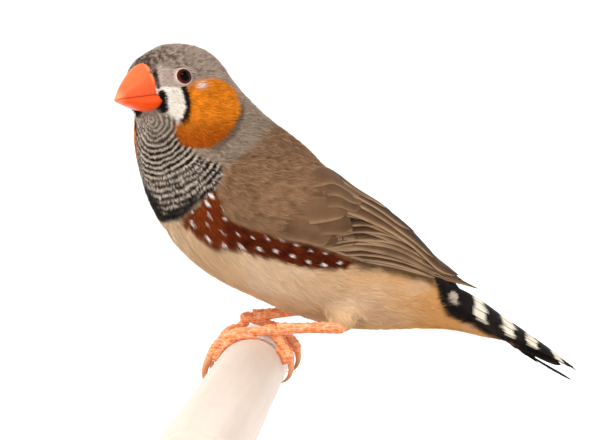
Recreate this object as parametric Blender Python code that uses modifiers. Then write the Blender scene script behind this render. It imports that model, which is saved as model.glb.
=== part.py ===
"""Male zebra finch, life size, gripping a cut length of dowel that a plain display stand holds.

Lengths below are in millimetres and are turned to metres by MM where an object is made. The bird is
drawn about the point on the dowel's axis under its body: x runs towards the tail, y to the bird's
right and z up. Every section of a body part is a height range and a half width at one station.
"""

import math

import bmesh
import bpy
from mathutils import Matrix, Vector

MM = 0.001

# Driving dimensions of the stand.
DOWEL_RADIUS = 6.35
DOWEL_HEIGHT = 46.0
DOWEL_FRONT = -110.0
DOWEL_BACK = 22.0
DOWEL_SIDES = 32
BIRD_STATION = 44.0
BASE_SIZE = (78.0, 104.0, 7.0)
ROD_RADIUS = 2.0
ROD_STATIONS = (-42.0, 24.0)
ROD_SOCKET_DEPTH = 3.0

# Driving dimensions of the bird's pose.
BODY_YAW = 10.0
HEAD_YAW = 57.0
HEAD_PITCH = -4.0
HEAD_ROLL = 8.0
EYE_MIDPOINT = (-17.4, -8.9, 55.0)
GAP = 0.3
FINE_GAP = 0.15

# Station, top, bottom and half width of the trunk's plumage, from throat to under tail coverts.
TRUNK_SECTIONS = (
    (-23.4, 46.6, 43.0, 1.6),
    (-22.4, 48.6, 38.8, 5.0),
    (-20.6, 49.6, 32.6, 7.6),
    (-17.6, 50.4, 27.0, 9.9),
    (-13.0, 51.6, 21.2, 11.9),
    (-7.0, 52.2, 16.7, 13.1),
    (0.0, 50.4, 13.2, 13.7),
    (5.0, 47.2, 11.0, 13.8),
    (11.0, 42.5, 8.7, 13.4),
    (18.0, 34.9, 6.9, 12.2),
    (25.0, 30.0, 6.5, 10.2),
    (32.0, 24.0, 6.6, 7.9),
    (38.5, 17.0, 6.3, 5.6),
    (43.5, 11.2, 5.2, 3.8),
    (47.5, 7.4, 4.2, 2.8),
    (51.0, 4.9, 3.5, 1.3),
)
TRUNK_RINGS = 44
RING_SIDES = 28
BODY_VOXEL = 0.9
BODY_SMOOTHING = 34
BODY_DETAIL = 0.1

# Centre line and the two radii, across and along the neck, from the shoulders up to the head.
NECK_SECTIONS = (
    ((0.0, 0.2, 33.0), 12.4, 12.4),
    ((-4.0, -0.6, 40.0), 11.9, 11.4),
    ((-8.4, -1.8, 46.4), 10.8, 9.9),
    ((-12.0, -3.4, 52.2), 9.8, 8.8),
)

# Station forward of the eyes, top, bottom and half width of the head's plumage.
HEAD_SECTIONS = (
    (5.6, 2.2, -3.8, 2.2),
    (4.6, 3.8, -6.0, 4.2),
    (3.0, 5.3, -8.0, 5.5),
    (0.4, 6.6, -10.0, 6.6),
    (-3.0, 7.3, -11.0, 8.1),
    (-7.0, 7.4, -11.0, 9.5),
    (-10.8, 6.2, -10.0, 9.4),
    (-14.2, 2.6, -7.0, 6.4),
)
HEAD_RINGS = 22
CHEEK_CENTRE = (-5.0, 5.6, -7.0)
CHEEK_RADII = (6.2, 3.9, 6.8)

EYE_RADIUS = 2.3
EYE_CENTRE = (-0.7, 5.2, -0.3)

# Station forward of the eyes, culmen height, half width at the mouth and drop of the keel below it.
BILL_SECTIONS = (
    (1.8, 3.5, 4.0, -5.2),
    (3.2, 3.4, 3.9, -5.3),
    (4.6, 3.0, 3.6, -5.2),
    (6.2, 2.3, 3.1, -4.85),
    (8.0, 1.2, 2.4, -4.35),
    (9.6, -0.1, 1.7, -3.85),
    (11.0, -1.4, 1.0, -3.4),
    (12.0, -2.4, 0.45, -3.1),
)
BILL_RINGS = 9
BILL_TIP = (12.3, -2.9)
MOUTH_HEIGHT = -2.7
BILL_SIDES = 10

# Station, and the angles of the upper and lower edges from the back's crest.
WING_SECTIONS = (
    (-10.4, 86.0, 97.0),
    (-8.6, 74.0, 101.0),
    (-5.5, 67.0, 109.0),
    (0.0, 60.0, 111.0),
    (6.0, 50.0, 108.0),
    (11.0, 34.0, 102.0),
    (15.0, 14.0, 96.0),
    (19.0, 5.0, 88.0),
    (25.0, 4.0, 82.0),
    (31.5, 4.0, 74.0),
    (37.0, 4.0, 62.0),
    (41.0, 5.0, 48.0),
    (44.4, 8.0, 30.0),
)
WING_RINGS = 24
WING_STRIPS = 7
WING_THICKNESS = 1.5
WING_EDGE = 0.55
WING_BURIED = -1.2

# Station, top, bottom and half width of the tail with its long upper coverts.
TAIL_SECTIONS = (
    (36.5, 16.4, 10.0, 3.6),
    (41.0, 14.8, 8.4, 4.5),
    (45.0, 12.5, 6.4, 4.7),
    (49.0, 9.6, 4.4, 4.6),
    (54.0, 6.1, 2.5, 4.2),
    (59.0, 2.5, 0.4, 3.3),
    (62.2, 0.0, -1.0, 2.0),
    (64.6, -1.7, -2.3, 0.7),
)
TAIL_RINGS = 13
TAIL_SIDES = 12
OUTER_FEATHER_ROOT = (46.0, -3.0, 6.6)
OUTER_FEATHER_TIP = (62.6, -3.4, -3.4)
OUTER_FEATHER_SIZE = (2.2, 0.6)

# Feathered thigh lobes, then the bare legs. Left is the near, -y side.
THIGH_RADII = (3.2, 2.5, 3.5)
LEGS = {
    "left": {
        "thigh": (17.4, -6.2, 10.8),
        "heel": (17.0, -7.0, 8.6),
        "toe_root": (5.2, -7.0, 8.2),
        "hind_lift": 0.0,
        "outward": -1,
    },
    "right": {
        "thigh": (15.2, 6.4, 10.5),
        "heel": (14.6, 6.2, 11.0),
        "toe_root": (-0.4, 6.0, 9.3),
        "hind_lift": 0.6,
        "outward": 1,
    },
}
TARSUS_RADIUS = 1.12
TOE_RADIUS = 0.85
# Degrees round the dowel from its top, towards the breast, and height of a toe's middle line above it.
FRONT_TOE = ((-12.0, 1.5), (6.0, 1.25), (24.0, 1.3), (38.0, 1.7), (50.0, 1.7), (62.0, 1.7), (74.0, 1.8))
HIND_TOE = ((-6.0, 1.2), (-24.0, 1.2), (-42.0, 1.45), (-54.0, 1.6), (-66.0, 1.7), (-77.0, 1.6))
# Toe name, middle line, sideways lean at its end (outward is positive) and share of the line's sweep.
TOES = (
    ("inner", FRONT_TOE, -2.7, 0.86),
    ("middle", FRONT_TOE, -0.3, 1.0),
    ("outer", FRONT_TOE, 2.5, 0.9),
    ("hind", HIND_TOE, 0.4, 1.0),
)
TOE_STEPS = 7
CLAW_ARC = {"front": 34.0, "hind": 62.0}
CLAW_LENGTH = 4.8
CLAW_RADIUS = 0.6
CLAW_STEPS = 6

# Planes that part the plumage: a point on each, all with the same normal, up and towards the bill.
PART_NORMAL = Vector((-0.36, 0.0, 0.933))
HEAD_PLANE = (-8.0, 0.0, 41.6)
NECK_PLANE = (-6.0, 0.0, 34.4)

FINISHES = {
    "plumage": ((0.36, 0.25, 0.17), 0.75),
    "bill_horn": ((0.90, 0.18, 0.04), 0.35),
    "eye_surface": ((0.05, 0.01, 0.01), 0.08),
    "leg_skin": ((0.90, 0.40, 0.20), 0.5),
    "claw_horn": ((0.80, 0.50, 0.32), 0.4),
    "dowel_wood": ((0.93, 0.84, 0.72), 0.55),
    "stand_wood": ((0.30, 0.19, 0.11), 0.5),
    "rod_metal": ((0.62, 0.60, 0.56), 0.3),
}


def clear_scene():
    for old in list(bpy.data.objects):
        bpy.data.objects.remove(old, do_unlink=True)


def collection(name):
    made = bpy.data.collections.new(name)
    bpy.context.scene.collection.children.link(made)
    return made


def finish(name):
    """The Principled material of that name."""
    found = bpy.data.materials.get(name)
    if found:
        return found
    colour, roughness = FINISHES[name]
    made = bpy.data.materials.new(name)
    made.use_nodes = True
    shader = made.node_tree.nodes["Principled BSDF"]
    shader.inputs["Base Color"].default_value = (*colour, 1.0)
    shader.inputs["Roughness"].default_value = roughness
    shader.inputs["Metallic"].default_value = 1.0 if name == "rod_metal" else 0.0
    return made


def add_object(name, mesh, where, material=None):
    made = bpy.data.objects.new(name, mesh)
    where.objects.link(made)
    if material:
        mesh.materials.append(finish(material))
    mesh.shade_smooth()
    mesh.set_sharp_from_angle(angle=math.radians(45))
    return made


def helper(obj):
    obj.hide_render = True
    obj.display_type = "WIRE"
    return obj


def evaluated_mesh(obj):
    bpy.context.view_layer.update()
    graph = bpy.context.evaluated_depsgraph_get()
    mesh = bpy.data.meshes.new_from_object(obj.evaluated_get(graph))
    mesh.transform(obj.matrix_world)
    return mesh


def smooth_rows(rows, count):
    """Rows of numbers read along a Catmull-Rom curve through the given ones, evenly by station."""
    first, last = rows[0][0], rows[-1][0]
    read = []
    for step in range(count):
        station = first + (last - first) * step / (count - 1)
        forward = last > first
        k = 0
        while k < len(rows) - 2 and (rows[k + 1][0] < station) == forward and rows[k + 1][0] != station:
            k += 1
        low, high = rows[k], rows[k + 1]
        before = rows[k - 1] if k > 0 else low
        after = rows[k + 2] if k + 2 < len(rows) else high
        span = high[0] - low[0]
        t = (station - low[0]) / span
        row = [station]
        for j in range(1, len(low)):
            slope_in = (high[j] - before[j]) / (high[0] - before[0]) * span
            slope_out = (after[j] - low[j]) / (after[0] - low[0]) * span
            row.append(
                low[j] * (1 + 2 * t) * (1 - t) ** 2
                + slope_in * t * (1 - t) ** 2
                + high[j] * t * t * (3 - 2 * t)
                + slope_out * t * t * (t - 1)
            )
        read.append(row)
    return read


def ring_point(row, angle, grow=0.0):
    """A point of an upright oval section, by its angle from the crest, in millimetres."""
    station, top, bottom, half = row
    middle, rise = (top + bottom) / 2, (top - bottom) / 2
    return Vector((station, (half + grow) * math.sin(angle), middle + (rise + grow) * math.cos(angle)))


def skin_rings(name, rings, where, material=None):
    """A closed surface through rings of points, with a flat fan at each end."""
    mesh = bpy.data.meshes.new(name)
    shape = bmesh.new()
    loops = [[shape.verts.new(p * MM) for p in ring] for ring in rings]
    for lower, upper in zip(loops, loops[1:]):
        for k in range(len(lower)):
            shape.faces.new((lower[k], lower[k - 1], upper[k - 1], upper[k]))
    for loop in (loops[0], loops[-1]):
        bmesh.ops.triangle_fill(
            shape,
            edges=[e for e in {e for v in loop for e in v.link_edges} if set(e.verts) <= set(loop)],
        )
    bmesh.ops.recalc_face_normals(shape, faces=shape.faces)
    shape.to_mesh(mesh)
    shape.free()
    return add_object(name, mesh, where, material)


def oval_loft(name, sections, count, sides, where, material=None):
    rings = []
    for row in smooth_rows(sections, count):
        rings.append([ring_point(row, 2 * math.pi * k / sides) for k in range(sides)])
    return skin_rings(name, rings, where, material)


def ball(name, centre, radii, where, material=None, sides=24):
    mesh = bpy.data.meshes.new(name)
    shape = bmesh.new()
    bmesh.ops.create_uvsphere(shape, u_segments=sides, v_segments=sides * 2 // 3, radius=1.0)
    bmesh.ops.scale(shape, vec=Vector(radii) * MM, verts=shape.verts)
    bmesh.ops.translate(shape, vec=Vector(centre) * MM, verts=shape.verts)
    shape.to_mesh(mesh)
    shape.free()
    return add_object(name, mesh, where, material)


def tube(name, points, radii, where, material=None, rounded=True):
    """A closed tube along points, as a bevelled poly curve made into a welded mesh."""
    curve = bpy.data.curves.new(name, "CURVE")
    curve.dimensions = "3D"
    curve.bevel_depth = MM
    curve.bevel_resolution = 2
    curve.use_fill_caps = True
    spline = curve.splines.new("POLY")
    spline.points.add(len(points) - 1)
    for target, place, radius in zip(spline.points, points, radii):
        target.co = (*(Vector(place) * MM), 1.0)
        target.radius = radius
    guide = bpy.data.objects.new(name + "_path", curve)
    where.objects.link(guide)
    mesh = evaluated_mesh(guide)
    bpy.data.objects.remove(guide, do_unlink=True)
    shape = bmesh.new()
    shape.from_mesh(mesh)
    bmesh.ops.remove_doubles(shape, verts=shape.verts, dist=1e-6)
    bmesh.ops.recalc_face_normals(shape, faces=shape.faces)
    shape.to_mesh(mesh)
    shape.free()
    mesh.materials.clear()
    return add_object(name, mesh, where, material)


def boolean(obj, operation, other):
    step = obj.modifiers.new(operation.lower(), "BOOLEAN")
    step.operation = operation
    step.object = other
    step.solver = "EXACT"
    return step


def block(name, size, centre, where, material=None, turn=None):
    mesh = bpy.data.meshes.new(name)
    shape = bmesh.new()
    bmesh.ops.create_cube(shape, size=1.0)
    bmesh.ops.scale(shape, vec=Vector(size) * MM, verts=shape.verts)
    if turn:
        bmesh.ops.rotate(shape, matrix=turn, verts=shape.verts)
    bmesh.ops.translate(shape, vec=Vector(centre) * MM, verts=shape.verts)
    shape.to_mesh(mesh)
    shape.free()
    return add_object(name, mesh, where, material)


def rod(name, radius, start, end, sides, where, material=None):
    """A straight round bar between two points."""
    start, end = Vector(start), Vector(end)
    mesh = bpy.data.meshes.new(name)
    shape = bmesh.new()
    bmesh.ops.create_cone(
        shape,
        cap_ends=True,
        segments=sides,
        radius1=radius * MM,
        radius2=radius * MM,
        depth=(end - start).length * MM,
    )
    turn = (end - start).to_track_quat("Z", "Y").to_matrix()
    bmesh.ops.rotate(shape, matrix=turn, verts=shape.verts)
    bmesh.ops.translate(shape, vec=(start + end) / 2 * MM, verts=shape.verts)
    shape.to_mesh(mesh)
    shape.free()
    return add_object(name, mesh, where, material)


BODY_TURN = Matrix.Rotation(math.radians(BODY_YAW), 4, "Z")


def head_turn():
    """Carries a point of the head, as forward, left and up of the eyes' midpoint, to the bird's frame."""
    yaw, pitch = math.radians(HEAD_YAW), math.radians(HEAD_PITCH)
    forward = Vector((-math.cos(yaw) * math.cos(pitch), -math.sin(yaw) * math.cos(pitch), math.sin(pitch)))
    level = Vector((math.sin(yaw), -math.cos(yaw), 0.0))
    left = Matrix.Rotation(math.radians(HEAD_ROLL), 3, forward) @ level
    up = forward.cross(left)
    turn = Matrix((forward, left, up)).transposed().to_4x4()
    turn.translation = Vector(EYE_MIDPOINT)
    return turn


def moved(obj, turn):
    """Bakes a turn given in millimetres into the mesh."""
    matrix = turn.copy()
    matrix.translation = turn.translation * MM
    obj.data.transform(matrix)
    return obj


def body_shape(where):
    """Head, neck and trunk as one smooth closed form."""
    trunk = moved(oval_loft("trunk_form", TRUNK_SECTIONS, TRUNK_RINGS, RING_SIDES, where), BODY_TURN)
    rings = []
    axis = Vector(NECK_SECTIONS[-1][0]) - Vector(NECK_SECTIONS[0][0])
    side = Vector((0.0, 1.0, 0.0))
    back = side.cross(axis).normalized()
    for middle, across, along in NECK_SECTIONS:
        rings.append(
            [
                Vector(middle)
                + side * across * math.sin(2 * math.pi * k / RING_SIDES)
                + back * along * math.cos(2 * math.pi * k / RING_SIDES)
                for k in range(RING_SIDES)
            ]
        )
    neck = skin_rings("neck_form", rings, where)
    turn = head_turn()
    head = moved(oval_loft("head_form", HEAD_SECTIONS, HEAD_RINGS, RING_SIDES, where), turn)
    cheeks = []
    for side in (1, -1):
        centre = (CHEEK_CENTRE[0], CHEEK_CENTRE[1] * side, CHEEK_CENTRE[2])
        cheeks.append(moved(ball("cheek_form", centre, CHEEK_RADII, where), turn))
    joined = bmesh.new()
    for form in (trunk, neck, head, *cheeks):
        joined.from_mesh(form.data)
        bpy.data.objects.remove(form, do_unlink=True)
    mesh = bpy.data.meshes.new("body_form")
    joined.to_mesh(mesh)
    joined.free()
    whole = helper(add_object("body_form", mesh, where))
    remesh = whole.modifiers.new("one_surface", "REMESH")
    remesh.mode = "VOXEL"
    remesh.voxel_size = BODY_VOXEL * MM
    smooth = whole.modifiers.new("soften", "SMOOTH")
    smooth.factor = 0.5
    smooth.iterations = BODY_SMOOTHING
    fewer = whole.modifiers.new("fewer_faces", "DECIMATE")
    fewer.ratio = BODY_DETAIL
    mesh = evaluated_mesh(whole)
    bpy.data.objects.remove(whole, do_unlink=True)
    return mesh


def grown(name, mesh, by, where):
    """A copy of a mesh pushed out along its normals, to cut a neighbour clear of it."""
    made = helper(add_object(name, mesh.copy(), where))
    push = made.modifiers.new("clearance", "DISPLACE")
    push.mid_level = 0.0
    push.strength = by * MM
    return made


def slab(name, point, up, where):
    """A half space as a large block, above or below the parting plane through a point."""
    reach = 140.0
    turn = PART_NORMAL.to_track_quat("Z", "Y").to_matrix()
    centre = Vector(point) + PART_NORMAL.normalized() * (reach / 2 + GAP / 2) * (1 if up else -1)
    return helper(block(name, (reach, reach, reach), centre, where, turn=turn))


def make_plumage(parts, cutters, frame):
    mesh = body_shape(cutters)
    nodes = {}
    for name in ("head", "neck", "trunk"):
        nodes[name] = add_object(name, mesh.copy(), parts, "plumage")
        nodes[name].parent = frame
    boolean(nodes["head"], "INTERSECT", slab("above_neck", HEAD_PLANE, True, cutters))
    boolean(nodes["neck"], "INTERSECT", slab("below_head", HEAD_PLANE, False, cutters))
    boolean(nodes["neck"], "INTERSECT", slab("above_trunk", NECK_PLANE, True, cutters))
    boolean(nodes["trunk"], "INTERSECT", slab("below_neck", NECK_PLANE, False, cutters))
    return mesh, nodes


def make_eyes(parts, cutters, frame, head):
    turn = head_turn()
    for name, side in (("eye_left", 1), ("eye_right", -1)):
        centre = (EYE_CENTRE[0], EYE_CENTRE[1] * side, EYE_CENTRE[2])
        eye = moved(ball(name, centre, (EYE_RADIUS,) * 3, parts, "eye_surface", sides=14), turn)
        eye.parent = frame
        radii = (EYE_RADIUS + FINE_GAP,) * 3
        socket = helper(moved(ball(name + "_socket", centre, radii, cutters, sides=14), turn))
        boolean(head, "DIFFERENCE", socket)


def bill_rings(upper, grow=0.0):
    """Sections of one mandible: a rounded ridge over, or under, the flat line of the mouth."""
    rings = []
    for station, top, half, bottom in smooth_rows(BILL_SECTIONS, BILL_RINGS):
        peak = (top if upper else bottom) - MOUTH_HEIGHT
        edge = MOUTH_HEIGHT + (FINE_GAP / 2 if upper else -FINE_GAP / 2)
        ring = []
        for k in range(BILL_SIDES + 1):
            angle = math.pi * (k / BILL_SIDES - 0.5)
            bulge = max(0.0, math.cos(angle)) ** 0.8
            ring.append(Vector((station, (half + grow) * math.sin(angle), edge + (peak + math.copysign(grow, peak)) * bulge)))
        rings.append(ring)
    tip = Vector((BILL_TIP[0] + grow, 0.0, BILL_TIP[1]))
    rings.append([tip + (p - rings[-1][BILL_SIDES // 2]) * 0.12 for p in rings[-1]])
    return rings


def make_bill(parts, cutters, frame, head):
    turn = head_turn()
    for name, upper in (("bill_upper", True), ("bill_lower", False)):
        bill = moved(skin_rings(name, bill_rings(upper), parts, "bill_horn"), turn)
        bill.parent = frame
        socket = skin_rings(name + "_socket", bill_rings(upper, GAP), cutters)
        boolean(head, "DIFFERENCE", helper(moved(socket, turn)))


def wing_shape(name, side, grow, where, material=None):
    """A folded wing: a thin shell that hugs the trunk's sections between its two edges."""
    trunk_rows = smooth_rows(TRUNK_SECTIONS, 160)
    outer, inner = [], []
    for step, (station, top_angle, low_angle) in enumerate(smooth_rows(WING_SECTIONS, WING_RINGS)):
        row = min(trunk_rows, key=lambda r: abs(r[0] - station))
        start, end = math.radians(top_angle), math.radians(low_angle)
        pad = grow / row[3]
        along = step / (WING_RINGS - 1)
        ends = min(1.0, 6 * along, 5 * (1 - along))
        upper, lower = [], []
        for k in range(WING_STRIPS + 1):
            share = k / WING_STRIPS
            angle = (start - pad) + (end - start + 2 * pad) * share
            swell = min(1.0, 4 * share + 0.25, 4 * (1 - share)) * (0.35 + 0.65 * ends)
            thickness = WING_EDGE + (WING_THICKNESS - WING_EDGE) * swell + grow
            upper.append(ring_point(row, angle, GAP + thickness))
            lower.append(ring_point(row, angle, WING_BURIED))
        outer.append(upper)
        inner.append(lower)
    rings = []
    for upper, lower in zip(outer, inner):
        ring = upper + lower[::-1]
        rings.append([Vector((p.x, p.y * side, p.z)) for p in ring])
    made = skin_rings(name, rings, where, material)
    return moved(made, BODY_TURN)


def make_wings(parts, cutters, frame, body):
    cutters_made = []
    clear = grown("body_clearance", body, GAP, cutters)
    for name, side in (("wing_left", -1), ("wing_right", 1)):
        wing = wing_shape(name, side, 0.0, parts, "plumage")
        wing.parent = frame
        boolean(wing, "DIFFERENCE", clear)
        cutters_made.append(helper(wing_shape(name + "_clearance", side, GAP, cutters)))
    return clear, cutters_made


def make_tail(parts, cutters, frame, clear, wing_cutters):
    tail = moved(oval_loft("tail", TAIL_SECTIONS, TAIL_RINGS, TAIL_SIDES, parts, "plumage"), BODY_TURN)
    tail.parent = frame
    root, tip = Vector(OUTER_FEATHER_ROOT), Vector(OUTER_FEATHER_TIP)
    half, thick = OUTER_FEATHER_SIZE[0] / 2, OUTER_FEATHER_SIZE[1] / 2
    rings = []
    for step in range(6):
        share = step / 5
        width = half * (1.0 - 0.7 * share**2)
        centre = root.lerp(tip, share) + Vector((0.0, 0.0, -0.5 * math.sin(math.pi * share)))
        corners = ((-width, -thick), (width, -thick), (width, thick), (-width, thick))
        rings.append([centre + Vector((0.0, y, z)) for y, z in corners])
    feather = helper(moved(skin_rings("outer_feather_form", rings, cutters), BODY_TURN))
    boolean(tail, "UNION", feather)
    boolean(tail, "DIFFERENCE", clear)
    for cutter in wing_cutters:
        boolean(tail, "DIFFERENCE", cutter)


def toe_path(root, line, lean, share, lift):
    """Points from the toe's root along its middle line over the dowel and down round its side."""
    points = [root]
    rows = [(k, *row) for k, row in enumerate(line)]
    for _, degrees, height in smooth_rows(rows, TOE_STEPS):
        angle = -math.radians(degrees * share)
        reach = DOWEL_RADIUS + height + lift
        side = root.y + lean * len(points) / TOE_STEPS
        point = Vector((reach * math.sin(angle), side, reach * math.cos(angle)))
        if (point - root).length > 2.0 and (point.x - root.x) * (line[-1][0]) < 0:
            points.append(point)
    return points


def claw_path(points, kind):
    """A hooked claw that carries on from the end of a toe and curls in under it."""
    end, before = points[-1], points[-2]
    heading = (end - before).normalized()
    way = -1 if kind == "front" else 1
    place = end + heading * FINE_GAP
    path = [place]
    for _ in range(CLAW_STEPS):
        turn = Matrix.Rotation(math.radians(CLAW_ARC[kind] / CLAW_STEPS) * way, 3, "Y")
        heading = turn @ heading
        place = place + heading * (CLAW_LENGTH / CLAW_STEPS)
        path.append(place)
    return path


def make_leg(side, leg, parts, cutters, frame, clear):
    thigh = ball("thigh_" + side, leg["thigh"], THIGH_RADII, parts, "plumage", sides=14)
    thigh.parent = frame
    boolean(thigh, "DIFFERENCE", clear)
    thigh_clear = helper(
        ball("thigh_clearance_" + side, leg["thigh"], [r + GAP for r in THIGH_RADII], cutters, sides=14)
    )
    heel, root = Vector(leg["heel"]), Vector(leg["toe_root"])
    count = 7
    shank = [heel.lerp(root, k / (count - 1)) for k in range(count)]
    swell = [1.15, 1.05, 0.95, 0.9, 0.92, 1.0, 1.12]
    tarsus = tube("tarsus_" + side, shank, [TARSUS_RADIUS * s for s in swell], parts, "leg_skin")
    tarsus.parent = frame
    boolean(tarsus, "DIFFERENCE", thigh_clear)
    boolean(tarsus, "DIFFERENCE", clear)
    tarsus_clear = helper(
        tube("tarsus_clearance_" + side, shank, [TARSUS_RADIUS * s + GAP for s in swell], cutters)
    )
    palm = root + Vector((-1.0, 0.0, -0.2))
    foot = ball("foot_" + side, palm, (1.7, 1.5, 1.1), parts, "leg_skin", sides=12)
    foot.parent = frame
    for toe, line, lean, share in TOES:
        kind = "hind" if toe == "hind" else "front"
        lift = leg["hind_lift"] if kind == "hind" else 0.0
        points = toe_path(palm, line, lean * leg["outward"], share, lift)
        knuckles = [1.0 + 0.12 * math.cos(2.2 * k) - 0.02 * k for k in range(len(points))]
        radii = [TOE_RADIUS * k for k in knuckles]
        shape = helper(tube(f"toe_{toe}_{side}", points, radii, cutters))
        boolean(foot, "UNION", shape)
        path = claw_path(points, kind)
        taper = [CLAW_RADIUS * (1 - 0.86 * k / CLAW_STEPS) for k in range(CLAW_STEPS + 1)]
        claw = tube(f"claw_{toe}_{side}", path, taper, parts, "claw_horn")
        claw.parent = frame
    boolean(foot, "DIFFERENCE", tarsus_clear)


def make_stand(parts, cutters):
    """Dowel, two rods and the flat base, in the stand's own frame with its base on the floor."""
    dowel = rod(
        "perch",
        DOWEL_RADIUS,
        (0.0, DOWEL_FRONT + BIRD_STATION, DOWEL_HEIGHT),
        (0.0, DOWEL_BACK + BIRD_STATION, DOWEL_HEIGHT),
        DOWEL_SIDES,
        parts,
        "dowel_wood",
    )
    bevel = dowel.modifiers.new("eased_ends", "BEVEL")
    bevel.width = 0.6 * MM
    bevel.segments = 1
    bevel.angle_limit = math.radians(60)
    width, depth, height = BASE_SIZE
    base = block("stand_base", BASE_SIZE, (0.0, 0.0, height / 2), parts, "stand_wood")
    edge = base.modifiers.new("eased_edges", "BEVEL")
    edge.width = 1.2 * MM
    edge.segments = 2
    for name, station in zip(("stand_rod_front", "stand_rod_back"), ROD_STATIONS):
        foot = (0.0, station, height - ROD_SOCKET_DEPTH)
        top = (0.0, station, DOWEL_HEIGHT)
        post = rod(name, ROD_RADIUS, foot, top, 24, parts, "rod_metal")
        clear = rod(
            name + "_dowel_clearance",
            DOWEL_RADIUS + FINE_GAP,
            (0.0, station - 20.0, DOWEL_HEIGHT),
            (0.0, station + 20.0, DOWEL_HEIGHT),
            DOWEL_SIDES,
            cutters,
        )
        boolean(post, "DIFFERENCE", helper(clear))
        socket = rod(
            name + "_socket",
            ROD_RADIUS + FINE_GAP,
            (0.0, station, height - ROD_SOCKET_DEPTH - FINE_GAP),
            (0.0, station, height + 4.0),
            24,
            cutters,
        )
        boolean(base, "DIFFERENCE", helper(socket))


def main():
    clear_scene()
    parts = collection("zebra_finch")
    cutters = collection("cutters")
    make_stand(parts, cutters)
    frame = bpy.data.objects.new("bird_frame", None)
    parts.objects.link(frame)
    body, nodes = make_plumage(parts, cutters, frame)
    make_eyes(parts, cutters, frame, nodes["head"])
    make_bill(parts, cutters, frame, nodes["head"])
    clear, wing_cutters = make_wings(parts, cutters, frame, body)
    make_tail(parts, cutters, frame, clear, wing_cutters)
    for side, leg in LEGS.items():
        make_leg(side, leg, parts, cutters, frame, clear)
    place = Vector((0.0, BIRD_STATION, DOWEL_HEIGHT)) * MM
    for obj in cutters.objects:
        if not obj.name.startswith("stand_"):
            obj.parent = frame
    frame.location = place


main()
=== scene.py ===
import itertools
import math
from functools import reduce

import bmesh
import bpy
import numpy as np
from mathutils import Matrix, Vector
from mathutils.bvhtree import BVHTree


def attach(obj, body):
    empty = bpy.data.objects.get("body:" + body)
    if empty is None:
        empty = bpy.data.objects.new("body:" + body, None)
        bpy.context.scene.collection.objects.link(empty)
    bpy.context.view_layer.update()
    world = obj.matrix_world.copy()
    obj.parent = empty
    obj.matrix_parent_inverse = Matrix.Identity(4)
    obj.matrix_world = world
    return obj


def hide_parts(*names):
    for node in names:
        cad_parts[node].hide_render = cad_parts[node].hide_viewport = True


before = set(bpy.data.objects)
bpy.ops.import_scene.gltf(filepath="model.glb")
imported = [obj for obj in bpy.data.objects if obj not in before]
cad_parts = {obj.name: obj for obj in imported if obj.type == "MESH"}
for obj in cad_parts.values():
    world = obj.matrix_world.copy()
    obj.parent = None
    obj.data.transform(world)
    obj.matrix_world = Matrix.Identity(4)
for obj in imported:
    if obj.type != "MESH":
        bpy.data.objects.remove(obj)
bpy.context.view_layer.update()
rng = np.random.default_rng(41)

# Lengths are in millimetres about the point on the perch's axis under the bird, and go to metres in toRow.
pose = {
    "origin": (0.0, 44.0, 46.0),
    "bodyYaw": 10.0,
    "headYaw": 57.0,
    "headPitch": -4.0,
    "headRoll": 8.0,
    "eyeMidpoint": (-17.4, -8.9, 55.0),
    "headPlane": (-8.0, 0.0, 41.6),
    "headPlaneNormal": (-0.36, 0.0, 0.933),
}
trunkSections = (  # station, top, bottom, half width
    (-23.4, 46.6, 43.0, 1.6), (-22.4, 48.6, 38.8, 5.0), (-20.6, 49.6, 32.6, 7.6), (-17.6, 50.4, 27.0, 9.9),
    (-13.0, 51.6, 21.2, 11.9), (-7.0, 52.2, 16.7, 13.1), (0.0, 50.4, 13.2, 13.7), (5.0, 47.2, 11.0, 13.8),
    (11.0, 42.5, 8.7, 13.4), (18.0, 34.9, 6.9, 12.2), (25.0, 30.0, 6.5, 10.2), (32.0, 24.0, 6.6, 7.9),
    (38.5, 17.0, 6.3, 5.6), (43.5, 11.2, 5.2, 3.8), (47.5, 7.4, 4.2, 2.8), (51.0, 4.9, 3.5, 1.3),
)
wingSections = (  # station, angles of the upper and lower edge from the crest
    (-10.4, 86.0, 97.0), (-8.6, 74.0, 101.0), (-5.5, 67.0, 109.0), (0.0, 60.0, 111.0), (6.0, 50.0, 108.0),
    (11.0, 34.0, 102.0), (15.0, 14.0, 96.0), (19.0, 5.0, 88.0), (25.0, 4.0, 82.0), (31.5, 4.0, 74.0),
    (37.0, 4.0, 62.0), (41.0, 5.0, 48.0), (44.4, 8.0, 30.0),
)
tailSections = (
    (36.5, 16.4, 10.0, 3.6), (41.0, 14.8, 8.4, 4.5), (45.0, 12.5, 6.4, 4.7), (49.0, 9.6, 4.4, 4.6),
    (54.0, 6.1, 2.5, 4.2), (59.0, 2.5, 0.4, 3.3), (62.2, 0.0, -1.0, 2.0), (64.6, -1.7, -2.3, 0.7),
)
billSections = (  # station, culmen, half width, keel
    (1.8, 3.5, 4.0, -5.2), (3.2, 3.4, 3.9, -5.3), (4.6, 3.0, 3.6, -5.2), (6.2, 2.3, 3.1, -4.85),
    (8.0, 1.2, 2.4, -4.35), (9.6, -0.1, 1.7, -3.85), (11.0, -1.4, 1.0, -3.4), (12.0, -2.4, 0.45, -3.1),
)


def toRow(p):
    return (np.asarray(p, float) + np.array(pose["origin"])) * 0.001


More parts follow.
